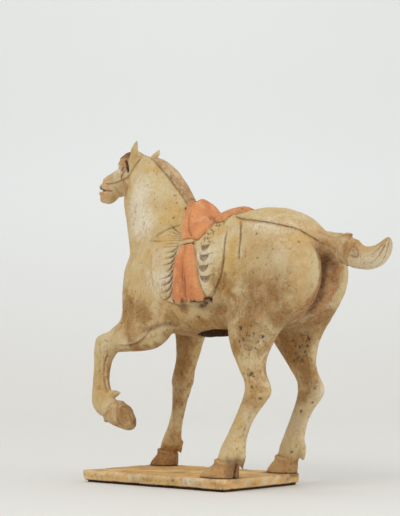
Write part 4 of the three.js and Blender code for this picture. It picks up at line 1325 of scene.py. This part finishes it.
def stainBody():
    x, y, z = horse.place.T
    side = np.abs(y)
    for name, blobs in stainsLightAndShade.items():
        total = np.zeros(len(x))
        for bx, bz, rx, rz, strength in blobs:
            total = 1 - (1 - total) * (1 - strength * mound(x - bx, rx, z - bz, rz))
        horse.paint(name, total)
    # painted shade on the dirt mask: darker on the inner faces of the legs, under the belly and in the cleft
    # under the tail
    inner = (
        smoothStep(-horse.mirrorNormal[:, 1], 0.1, 0.8) * smoothStep(side, 6, 20)
        * smoothStep(z, 300, 240)
    )
    under = smoothStep(-horse.normal[:, 2], 0.5, 0.95) * smoothStep(z, 170, 185) * smoothStep(z, 232, 205)
    cleft = (
        smoothStep(x, -186, -206) * smoothStep(side, 30, 16)
        * smoothStep(z, 306, 288) * smoothStep(z, 168, 200)
    )
    cleft *= smoothStep(x, -238, -228)
    for amount, mask in ((0.5 * smoothStep(z, 120, 170) + 0.1, inner), (0.7, under), (1.0, cleft)):
        horse.paints["dirtAndShade"] = 1 - (1 - horse.paints["dirtAndShade"]) * (1 - amount * mask)
    horse.paint("pink", 0.5 * cleft)
    # a darker patch below the cover's rear corner
    horse.paint("shadeAndDarkPaint", 0.35 * mound(x + 82, 22, z - 234, 9))
    horse.paint("leaf", 0.27 * mound(x + 185, 40, z - 265, 55))
    # more painted shade deep in the cleft
    horse.paint("shadeAndDarkPaint", 0.75 * cleft * smoothStep(side, 10, 3))
    # painted highlight: the far hind leg's cannon and hock are painted paler with slip, as if lit from the
    # right and behind
    horse.paints["slipAndHighlight"] = np.maximum(
        horse.paints["slipAndHighlight"],
        0.85 * smoothStep(-y, 20, 34) * smoothStep(z, 160, 120) * smoothStep(z, 50, 66) * (x < -60),
    )
    horse.paints["slipAndHighlight"] *= 1 - 0.85 * horse.paints["dirtAndShade"]
    # painted shade in creases and hollows, and proud edges are rubbed pale
    bend = horse.relaxed(((horse.average(horse.place) - horse.place) * horse.normal).sum(1), 2)
    wide = ((horse.relaxed(horse.place, 30) - horse.place) * horse.normal).sum(1)
    horse.paint("shadeAndDarkPaint", 0.4 * smoothStep(bend, 0.06, 0.22))
    horse.paint("shadeAndDarkPaint", 0.5 * smoothStep(wide, 0.5, 2.4) * (1 - 0.6 * smoothStep(laid["blanket"], -3, 0)))
    horse.paint("worn", smoothStep(-bend, 0.03, 0.14) * (1 - 0.7 * horse.paints["salmon"]))
    # painted shade where the hooves meet the plinth
    horse.paint("shadeAndDarkPaint", 0.6 * smoothStep(z, 19.5, 16.5))


stainBody()


def storePaint(clay):
    for name, parts in carriers.items():
        layer = clay.mesh.attributes.new(name, "FLOAT_COLOR", "POINT")
        values = np.ones((len(clay.place), 4), np.float32)
        for column, part in enumerate(parts):
            values[:, column] = np.clip(clay.paints[part], 0, 1)
        layer.data.foreach_set("color", values.ravel())


# Plain areas are thinned before the detailed ones.
def thinned(clay, most, detailed):
    before = triangleCount(clay.mesh)
    print("triangles before thinning", before)
    if before <= most:
        return clay.mesh
    holder = link("holder", clay.mesh)
    group = holder.vertex_groups.new(name="plain")
    group.add(np.flatnonzero(~detailed).tolist(), 1.0, "REPLACE")
    group.add(np.flatnonzero(detailed).tolist(), 0.02, "REPLACE")
    bpy.data.objects.remove(holder)
    return through(
        clay.mesh, "DECIMATE", ratio=most / before, use_collapse_triangulate=True,
        vertex_group="plain", vertex_group_factor=0.00001,
    )


def makePiece(name, mesh):
    mesh.name = name
    mesh.polygons.foreach_set("use_smooth", np.ones(len(mesh.polygons), bool))
    print(name, "triangles", triangleCount(mesh))
    return link(name, mesh)


horse.store()
storePaint(horse)
tombHorse = makePiece("tombHorse", thinned(horse, horseBody["mostTriangles"], wantsDetail(horse)))

print("stage: harness cords")

cords = {
    "crupperRadius": 1.15,
    "bridleRadius": 0.8,
    "sunk": 0.35,  # how deep the middle of a cord lies in the body
    "step": 1.3,
    "unevenness": 0.35,
    "seed": 6,
}


# Paths laid on the body's surface, as a mesh of edges
def cordPaths(names):
    mesh = bpy.data.meshes.new("cordPaths")
    places, edges = [], []
    for name in names:
        chain = curve(harness[name], 8)
        for side in (1, -1):
            path = []
            for point in chain * np.array([1, side, 1]):
                near = np.argmin(((horse.place - point) ** 2).sum(1))
                flat = horse.place[near] - point
                normal = horse.normal[near]
                path.append(point + normal * (flat @ normal - cords["sunk"]))
            for _ in range(3):
                path[1:-1] = [(a + 2 * b + c) / 4 for a, b, c in zip(path, path[1:], path[2:])]
            edges += [(len(places) + i, len(places) + i + 1) for i in range(len(path) - 1)]
            places += path
    mesh.from_pydata((np.array(places) / 1000).tolist(), edges, [])
    return mesh


# Geometry Nodes: each path becomes a cord of uneven thickness.
def cordTree(material):
    tree = bpy.data.node_groups.new("cordAlongPath", "GeometryNodeTree")
    face = tree.interface
    face.new_socket("Paths", in_out="INPUT", socket_type="NodeSocketGeometry")
    for label, value in (
        ("Radius", 0.001), ("Step", cords["step"] / 1000), ("Unevenness", cords["unevenness"]),
    ):
        socket = face.new_socket(label, in_out="INPUT", socket_type="NodeSocketFloat")
        socket.default_value = value
    seed = face.new_socket("Seed", in_out="INPUT", socket_type="NodeSocketInt")
    seed.default_value = cords["seed"]
    face.new_socket("Cords", in_out="OUTPUT", socket_type="NodeSocketGeometry")
    add = tree.nodes.new
    join = tree.links.new
    given = add("NodeGroupInput")
    result = add("NodeGroupOutput")
    toCurve = add("GeometryNodeMeshToCurve")
    resample = add("GeometryNodeResampleCurve")
    resample.mode = "LENGTH"
    randomValue = add("FunctionNodeRandomValue")
    span = add("ShaderNodeMath")
    span.operation = "MULTIPLY_ADD"
    thick = add("ShaderNodeMath")
    thick.operation = "MULTIPLY"
    setRadius = add("GeometryNodeSetCurveRadius")
    circle = add("GeometryNodeCurvePrimitiveCircle")
    circle.inputs["Resolution"].default_value = 8
    circle.inputs["Radius"].default_value = 1
    toMesh = add("GeometryNodeCurveToMesh")
    toMesh.inputs["Fill Caps"].default_value = True
    realize = add("GeometryNodeRealizeInstances")
    paint = add("GeometryNodeSetMaterial")
    paint.inputs["Material"].default_value = material
    join(given.outputs["Paths"], toCurve.inputs[0])
    join(toCurve.outputs[0], resample.inputs["Curve"])
    join(given.outputs["Step"], resample.inputs["Length"])
    join(given.outputs["Seed"], randomValue.inputs["Seed"])
    join(randomValue.outputs[1], span.inputs[0])
    join(given.outputs["Unevenness"], span.inputs[1])
    span.inputs[2].default_value = 0.8
    join(span.outputs[0], thick.inputs[0])
    join(given.outputs["Radius"], thick.inputs[1])
    join(resample.outputs[0], setRadius.inputs["Curve"])
    join(thick.outputs[0], setRadius.inputs["Radius"])
    join(setRadius.outputs[0], toMesh.inputs["Curve"])
    join(circle.outputs[0], toMesh.inputs["Profile Curve"])
    if "Scale" in toMesh.inputs:
        radius = add("GeometryNodeInputRadius")
        join(radius.outputs[0], toMesh.inputs["Scale"])
    join(toMesh.outputs[0], realize.inputs[0])
    join(realize.outputs[0], paint.inputs["Geometry"])
    join(paint.outputs[0], result.inputs["Cords"])
    return tree


print("stage: plinth")

slab = {
    "cell": 1.6,
    "chips": 16,
    "pits": 90,
    "waviness": 0.45,
    "undercut": 5.0,  # how far the lowest edge draws in
    "hoofPlaces": [(-102, 58), (-105, -61), (103, -59)],
    "top": 16.0,
    "highest": 16.05,  # what the wear may leave standing over the top
}


def roughPlinth():
    mesh = through(
        meshCopy(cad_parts["plinth"], "plinth"), "REMESH", mode="VOXEL", voxel_size=slab["cell"] / 1000
    )
    clay = Clay(mesh)
    clay.polish(10 * (1.6 / slab["cell"]) ** 2)
    return clay


def wearPlinth(clay):
    x, y, z = clay.place.T
    low, high = clay.place.min(0), clay.place.max(0)
    rim = np.minimum(np.minimum(x - low[0], high[0] - x), np.minimum(y - low[1], high[1] - y))
    nearEdge = smoothStep(rim, 9, 1)
    upper = smoothStep(z, 8, 14)
    clay.lift += nearEdge * (slab["waviness"] * waves(clay.place, 34, 5) + 0.25 * waves(clay.place, 11, 6))
    clay.lift -= 0.9 * nearEdge * upper * smoothStep(waves(clay.place, 42, 7), 0.2, 1.0)
    for axis, value in ((0, x), (1, y)):
        inwards = smoothStep(np.abs(value), high[axis] - 9, high[axis]) * np.sign(value)
        clay.place[:, axis] -= (slab["undercut"] * inwards * smoothStep(z, 3.9, 2.9)).astype(np.float32)
    corner = smoothStep(-x, 108, 128) * smoothStep(-y, 62, 82) * smoothStep(z, 3, 12)
    clay.place[:, 0] += (2.6 * corner).astype(np.float32)
    clay.place[:, 1] += (2.2 * corner).astype(np.float32)
    clay.refresh()
    x, y, z = clay.place.T
    random = np.random.default_rng(8)
    for _ in range(slab["chips"]):
        along, edge, level = random.uniform(-1, 1), random.choice([-1, 1]), random.choice([1.0, 15.0])
        middle = (along * 126, edge * 80, level) if random.random() < 0.6 else (edge * 127, along * 78, level)
        radius = random.uniform(1.2, 4.5)
        away = (clay.place - np.array(middle)) / np.array([1.5, 1.5, 0.8])
        chip = bell(np.linalg.norm(away, axis=1), radius * (1 + 0.3 * waves(clay.place, 5, 3)))
        clay.lift -= 0.5 * radius * chip
        clay.paint("pink", 0.9 * chip)
        # painted shade in the chip
        clay.paint("hollowShade", 0.35 * chip)
    for _ in range(slab["pits"]):
        middle = np.array([random.uniform(-126, 126), random.uniform(-80, 80), slab["top"]])
        if random.random() < 0.4:
            middle[1], middle[2] = 80.5, random.uniform(2, 14)
        radius = random.uniform(0.5, 1.4)
        hole = bell(np.linalg.norm(clay.place - middle, axis=1), radius)
        clay.lift -= 0.5 * radius * hole
        # painted shade in the pit
        clay.paint("hollowShade", 0.8 * hole)
    clay.lift[z < 0.4] = np.minimum(clay.lift[z < 0.4], 0)
    clay.push(np.clip(clay.lift, -4, 0.8))
    clay.place[:, 2] = np.clip(clay.place[:, 2], 0, slab["highest"])
    clay.refresh()
    bend = clay.relaxed(((clay.average(clay.place) - clay.place) * clay.normal).sum(1), 2)
    sides = nearEdge * smoothStep(np.abs(clay.normal[:, 2]), 0.8, 0.3)
    clay.paint("worn", np.maximum(smoothStep(-bend, 0.03, 0.2), 0.5 * nearEdge * upper))
    clay.paint("slipAndHighlight", sides * (0.5 + 0.4 * waves(clay.place, 24, 4)) * smoothStep(z, 3.4, 4.6))
    # painted shade in the creases, and deep painted shade along the drawn-in lowest edge
    clay.paint("shadeAndDarkPaint", 0.6 * smoothStep(bend, 0.05, 0.3))
    clay.paint("shadeAndDarkPaint", smoothStep(z, 4.0, 3.0))
    clay.paint("hollowShade", smoothStep(z, 3.8, 2.8))
    clay.paint("ochre", 0.5 + 0.3 * waves(clay.place, 60, 9))
    clay.paint("dirtAndShade", np.clip(0.36 + 0.22 * waves(clay.place, 24, 10), 0, 1))
    for hx, hy in slab["hoofPlaces"]:  # painted shade in rings round where the hooves stand
        ring = np.hypot((x - hx) / 24, (y - hy) / 19)
        clay.paint("shadeAndDarkPaint", 0.8 * bell(ring - 0.95, 0.16) * upper)


plinth = roughPlinth()
wearPlinth(plinth)
plinth.store()
storePaint(plinth)
slabPlinth = makePiece("slabPlinth", plinth.mesh)

print("stage: materials")


# Small helpers for node trees
class Recipe:
    def __init__(self, name):
        self.material = bpy.data.materials.new(name)
        self.material.use_nodes = True
        self.nodes = self.material.node_tree.nodes
        self.links = self.material.node_tree.links
        self.nodes.clear()
        self.output = self.nodes.new("ShaderNodeOutputMaterial")
        self.shader = self.nodes.new("ShaderNodeBsdfPrincipled")
        self.links.new(self.shader.outputs[0], self.output.inputs[0])
        self.place = self.nodes.new("ShaderNodeTexCoord").outputs["Object"]

    def feed(self, socket, value):
        if hasattr(value, "links"):
            self.links.new(value, socket)
        else:
            socket.default_value = value

    def mask(self, part):
        carrier = next(name for name, parts in carriers.items() if part in parts)
        key = "mask" + carrier
        if key not in self.nodes:
            source = self.nodes.new("ShaderNodeAttribute")
            source.attribute_name = carrier
            split = self.nodes.new("ShaderNodeSeparateColor")
            split.name = key
            self.links.new(source.outputs["Color"], split.inputs[0])
        return self.nodes[key].outputs[carriers[carrier].index(part)]

    def noise(self, scale, detail=4.0, roughness=0.55, distortion=0.0, stretch=None):
        node = self.nodes.new("ShaderNodeTexNoise")
        node.inputs["Scale"].default_value = scale
        node.inputs["Detail"].default_value = detail
        node.inputs["Roughness"].default_value = roughness
        node.inputs["Distortion"].default_value = distortion
        place = self.place
        if stretch:
            mapping = self.nodes.new("ShaderNodeMapping")
            mapping.inputs["Scale"].default_value = stretch
            self.links.new(place, mapping.inputs["Vector"])
            place = mapping.outputs[0]
        self.links.new(place, node.inputs["Vector"])
        return node.outputs["Fac"]

    def cells(self, scale):
        node = self.nodes.new("ShaderNodeTexVoronoi")
        node.inputs["Scale"].default_value = scale
        self.links.new(self.place, node.inputs["Vector"])
        return node.outputs["Distance"]

    def steps(self, value, low, high, start=0.0, end=1.0):
        node = self.nodes.new("ShaderNodeMapRange")
        node.interpolation_type = "SMOOTHSTEP"
        self.feed(node.inputs["Value"], value)
        for key, number in (("From Min", low), ("From Max", high), ("To Min", start), ("To Max", end)):
            node.inputs[key].default_value = number
        return node.outputs[0]

    def sum(self, operation, a, b):
        node = self.nodes.new("ShaderNodeMath")
        node.operation = operation
        self.feed(node.inputs[0], a)
        self.feed(node.inputs[1], b)
        return node.outputs[0]

    def times(self, a, b):
        return self.sum("MULTIPLY", a, b)

    # A mask broken up by noises: each pair is a noise and how strongly it works.
    def broken(self, value, *noises):
        for noise, strength in noises:
            value = self.sum("ADD", value, self.times(self.sum("SUBTRACT", noise, 0.5), strength))
        return value

    def blend(self, amount, under, over, kind="MIX"):
        node = self.nodes.new("ShaderNodeMix")
        node.data_type = "RGBA"
        node.blend_type = kind
        self.feed(node.inputs["Factor"], amount)
        sockets = [s for s in node.inputs if s.type == "RGBA"]
        self.feed(sockets[0], under)
        self.feed(sockets[1], over)
        return [s for s in node.outputs if s.type == "RGBA"][0]

    def bump(self, height, strength, distance):
        node = self.nodes.new("ShaderNodeBump")
        node.inputs["Strength"].default_value = strength
        node.inputs["Distance"].default_value = distance
        self.links.new(height, node.inputs["Height"])
        self.links.new(node.outputs[0], self.shader.inputs["Normal"])


def shade(red, green, blue):
    def straight(value):
        value /= 255
        return value / 12.92 if value <= 0.04045 else ((value + 0.055) / 1.055) ** 2.4

    return (straight(red), straight(green), straight(blue), 1.0)


# The two darkest colours paint shade into creases, hollows and recesses; the brown dirt colour paints shade
# as well as dirt, and the whitish slip colour paints a highlight in places.
clayColours = {
    "clay": shade(209, 189, 146),
    "clayDeep": shade(198, 166, 115),
    "slipAndHighlight": shade(229, 220, 198),
    "ochre": shade(204, 166, 97),
    "dirtAndShade": shade(151, 108, 60),
    "shadeAndDarkPaint": shade(76, 46, 26),
    "hollowShade": shade(58, 34, 19),
    "salmon": shade(222, 151, 98),
    "salmonPale": shade(226, 172, 126),
    "salmonRed": shade(208, 132, 84),
    "blanket": shade(213, 192, 150),
    "hair": shade(186, 150, 105),
    "hairRed": shade(184, 130, 84),
    "line": shade(130, 92, 52),
    "leaf": shade(112, 90, 66),
    "pink": shade(206, 144, 102),
}


def paintedClay(name, base, deep, bumpDepth):
    r = Recipe(name)
    c = clayColours
    broad = r.noise(15, 5, 0.6)
    patchy = r.noise(52, 6, 0.66, 0.5)
    streak = r.noise(130, 5, 0.68, 0.2, (1, 1, 0.3))
    fine = r.noise(240, 5, 0.7)
    grain = r.noise(900, 3, 0.6)
    colour = r.blend(r.steps(broad, 0.4, 0.62), base, deep)
    colour = r.blend(r.steps(patchy, 0.47, 0.6, 0.0, 0.35), colour, c["ochre"])
    # hair and blanket grounds
    hairGround = r.blend(r.steps(patchy, 0.42, 0.6), c["hair"], c["hairRed"])
    colour = r.blend(r.times(r.mask("hair"), r.steps(fine, 0.3, 0.6, 0.55, 0.95)), colour, hairGround)
    colour = r.blend(r.times(r.mask("blanket"), r.steps(patchy, 0.36, 0.6, 0.35, 0.85)), colour, c["blanket"])
    # whitish slip holds in flakes, with a painted highlight in places; ochre, and soil with painted shade,
    # lie over it in patches
    hold = r.broken(r.mask("slipAndHighlight"), (patchy, 1.5), (fine, 0.8), (streak, 0.6))
    colour = r.blend(r.steps(hold, 0.28, 1.0, 0.0, 0.7), colour, c["slipAndHighlight"])
    warm = r.broken(r.mask("ochre"), (patchy, 1.3), (fine, 1.0))
    colour = r.blend(r.steps(warm, 0.3, 1.0, 0.0, 0.8), colour, c["ochre"])
    soilAndShade = r.broken(r.mask("dirtAndShade"), (patchy, 1.7), (fine, 1.7), (streak, 0.5))
    soiledAndShaded = r.steps(soilAndShade, 0.22, 1.15)
    colour = r.blend(r.times(soiledAndShaded, 0.85), colour, c["dirtAndShade"])
    colour = r.blend(r.steps(streak, 0.54, 0.7, 0.0, 0.24), colour, c["dirtAndShade"])
    colour = r.blend(r.steps(r.broken(fine, (streak, 0.7)), 0.57, 0.74, 0.0, 0.6), colour, c["dirtAndShade"])
    # salmon paint, rubbed and streaked
    salmon = r.blend(r.steps(broad, 0.4, 0.62), c["salmon"], c["salmonRed"])
    salmon = r.blend(r.steps(patchy, 0.48, 0.64, 0.0, 0.6), salmon, c["salmonPale"])
    salmon = r.blend(r.steps(r.broken(streak, (fine, 0.6)), 0.54, 0.74, 0.0, 0.7), salmon, c["dirtAndShade"])
    rubbed = r.steps(r.sum("ADD", fine, r.times(r.mask("worn"), 0.18)), 0.62, 0.78, 1.0, 0.4)
    colour = r.blend(r.times(r.mask("salmon"), rubbed), colour, salmon)
    # drawn lines, leaves and lips
    missing = r.steps(fine, 0.34, 0.62, 1.0, 0.6)
    colour = r.blend(r.times(r.mask("pink"), 0.6), colour, c["pink"])
    colour = r.blend(r.times(r.mask("leaf"), r.times(missing, 0.9)), colour, c["leaf"])
    colour = r.blend(r.times(r.mask("line"), r.times(missing, 0.9)), colour, c["line"])
    # rubbed edges, painted shade in creases, hollows and pits, and specks
    colour = r.blend(r.times(r.mask("worn"), r.steps(fine, 0.35, 0.6, 0.15, 0.45)), colour, c["slipAndHighlight"])
    colour = r.blend(r.times(r.mask("shadeAndDarkPaint"), r.steps(fine, 0.3, 0.68, 1.0, 0.7)), colour, c["shadeAndDarkPaint"])
    colour = r.blend(r.times(r.mask("hollowShade"), 0.85), colour, c["hollowShade"])
    speck = r.times(r.steps(r.cells(150), 0.05, 0.15, 1.0, 0.0), r.steps(r.noise(60, 2, 0.5), 0.48, 0.58))
    dots = r.times(r.steps(r.cells(300), 0.08, 0.22, 1.0, 0.0), r.steps(patchy, 0.46, 0.56))
    speck = r.times(r.sum("MAXIMUM", speck, dots), r.steps(soiledAndShaded, 0.0, 0.4, 0.45, 1.0))
    colour = r.blend(r.times(speck, 0.9), colour, c["dirtAndShade"])
    # the more dirt and painted shade on the clay, the harsher its grain
    harsh = r.steps(soiledAndShaded, 0.0, 0.55, 0.25, 1.0)
    grit = r.times(r.steps(r.noise(430, 4, 0.7), 0.56, 0.68), harsh)
    colour = r.blend(r.times(grit, 0.7), colour, c["shadeAndDarkPaint"])
    colour = r.blend(harsh, colour, r.steps(fine, 0.3, 0.7, 0.6, 1.32), "MULTIPLY")
    colour = r.blend(1.0, colour, r.steps(grain, 0.3, 0.72, 1.05, 0.9), "MULTIPLY")
    r.feed(r.shader.inputs["Base Color"], colour)
    r.feed(r.shader.inputs["Roughness"], r.steps(patchy, 0.3, 0.7, 0.76, 0.95))
    r.shader.inputs["Specular IOR Level"].default_value = 0.28
    height = r.sum("ADD", r.times(fine, 0.75), r.times(grain, 0.3))
    height = r.sum("ADD", height, r.times(hold, 0.1))
    height = r.sum("SUBTRACT", height, r.times(r.sum("MAXIMUM", speck, grit), 0.6))
    r.bump(height, 0.6, bumpDepth)
    return r.material


def cordPaint():
    r = Recipe("cordPaint")
    patchy = r.noise(90, 4, 0.6)
    fine = r.noise(420, 4, 0.65)
    colour = r.blend(r.steps(patchy, 0.38, 0.62), shade(126, 96, 60), shade(158, 126, 82))
    colour = r.blend(r.steps(fine, 0.54, 0.7, 0.0, 0.6), colour, clayColours["clay"])
    r.feed(r.shader.inputs["Base Color"], colour)
    r.feed(r.shader.inputs["Roughness"], r.steps(fine, 0.3, 0.7, 0.8, 0.95))
    r.shader.inputs["Specular IOR Level"].default_value = 0.25
    r.bump(fine, 0.5, 0.0005)
    return r.material


def makeCords(name, paths, radius, tree):
    holder = link(name, cordPaths(paths))
    modifier = holder.modifiers.new("cords", "NODES")
    modifier.node_group = tree
    inputs = {item.name: item.identifier for item in tree.interface.items_tree if item.in_out == "INPUT"}
    modifier[inputs["Radius"]] = radius / 1000
    depsgraph = bpy.context.evaluated_depsgraph_get()
    mesh = bpy.data.meshes.new_from_object(holder.evaluated_get(depsgraph))
    bpy.data.objects.remove(holder)
    return makePiece(name, mesh)


tombHorse.data.materials.append(
    paintedClay("paintedClay", clayColours["clay"], clayColours["clayDeep"], 0.0007)
)
slabPlinth.data.materials.append(
    paintedClay("plinthClay", shade(234, 194, 132), shade(216, 168, 100), 0.0009)
)
cordNodes = cordTree(cordPaint())
crupperCord = makeCords("crupperCord", ("crupper",), cords["crupperRadius"], cordNodes)
bridleCord = makeCords("bridleCord", ("noseBand", "cheekStrap"), cords["bridleRadius"], cordNodes)

pieces = (
    (tombHorse, "horse", "painted_clay"), (crupperCord, None, "painted_clay"),
    (bridleCord, None, "painted_clay"), (slabPlinth, "plinth", "plinth_clay"),
)
for piece, node, slot in pieces:
    if node:
        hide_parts(node)
    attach(piece, "root")

print("stage: floor and light")

studio = {
    "floor": 9.0,
    "sweepStart": 2.2,  # how far behind the object the floor starts to rise
    "sweepRadius": 1.2,
    "sweepSteps": 12,
    "key": 18.0,
    "fill": 10.5,
    "wall": 7.2,
    "above": 1.0,  # the surrounding light's strength overhead and at the horizon
    "around": 0.6,
    "floorColour": shade(228, 226, 221),
    "wallColour": shade(240, 242, 241),
}


def addFloor():
    size = studio["floor"]
    mesh = bpy.data.meshes.new("paleFloor")
    # a floor that sweeps up behind the object
    start, radius, steps = studio["sweepStart"], studio["sweepRadius"], studio["sweepSteps"]
    sweep = []
    for i in range(steps + 1):
        turn = math.pi / 2 * i / steps
        sweep.append((start + radius * math.sin(turn), radius - radius * math.cos(turn)))
    profile = [(-size, 0.0), (0.0, 0.0)] + sweep + [(start + radius, size)]
    right = Vector((math.sin(viewpoint["heading"]), math.cos(viewpoint["heading"]), 0))
    ahead = Vector((math.cos(viewpoint["heading"]), -math.sin(viewpoint["heading"]), 0))
    vertices, faces = [], []
    for along, height in profile:
        for across in (-size, size):
            vertices.append(ahead * along + right * across + Vector((0, 0, height)))
    for i in range(len(profile) - 1):
        a = 2 * i
        faces.append((a, a + 1, a + 3, a + 2))
    mesh.from_pydata(vertices, [], faces)
    mesh.polygons.foreach_set("use_smooth", [True] * len(faces))
    floor = link("paleFloor", mesh)
    r = Recipe("paleFloor")
    height = r.nodes.new("ShaderNodeSeparateXYZ")
    r.links.new(r.place, height.inputs[0])
    colour = r.blend(r.steps(height.outputs[2], 0.0, 0.9), studio["floorColour"], studio["wallColour"])
    r.feed(r.shader.inputs["Base Color"], colour)
    r.shader.inputs["Roughness"].default_value = 0.9
    r.shader.inputs["Specular IOR Level"].default_value = 0.1
    mesh.materials.append(r.material)


def addLight(name, place, size, power, tint=(1, 1, 1), target=(-0.05, 0, 0.22)):
    data = bpy.data.lights.new(name, "AREA")
    data.shape = "DISK"
    data.size = size
    data.energy = power
    data.color = tint
    light = bpy.data.objects.new(name, data)
    bpy.context.scene.collection.objects.link(light)
    away = Vector(place) - Vector(target)
    light.matrix_world = Matrix.Translation(place) @ away.to_track_quat("Z", "Y").to_matrix().to_4x4()


# Soft light all round, stronger from overhead
def addWorld():
    world = bpy.data.worlds.new("studioWorld")
    world.use_nodes = True
    nodes, join = world.node_tree.nodes, world.node_tree.links.new
    background = nodes["Background"]
    background.inputs["Color"].default_value = (0.95, 0.96, 0.97, 1)
    direction = nodes.new("ShaderNodeTexCoord")
    split = nodes.new("ShaderNodeSeparateXYZ")
    strength = nodes.new("ShaderNodeMapRange")
    join(direction.outputs["Generated"], split.inputs[0])
    join(split.outputs[2], strength.inputs["Value"])
    for key, number in (
        ("From Min", 0.0), ("From Max", 0.9), ("To Min", studio["around"]),
        ("To Max", studio["above"]),
    ):
        strength.inputs[key].default_value = number
    join(strength.outputs[0], background.inputs["Strength"])
    bpy.context.scene.world = world


addFloor()
addLight("keyLight", (-0.35, 2.1, 2.05), 1.5, studio["key"], (1.0, 0.99, 0.97))
addLight("fillLight", (-2.2, -0.3, 0.7), 1.5, studio["fill"])
addLight("wallLight", (0.95, -1.1, 2.5), 2.0, studio["wall"], target=(2.3, -2.65, 1.1))
addWorld()
bpy.context.scene.view_settings.view_transform = "Standard"

print("stage: done")
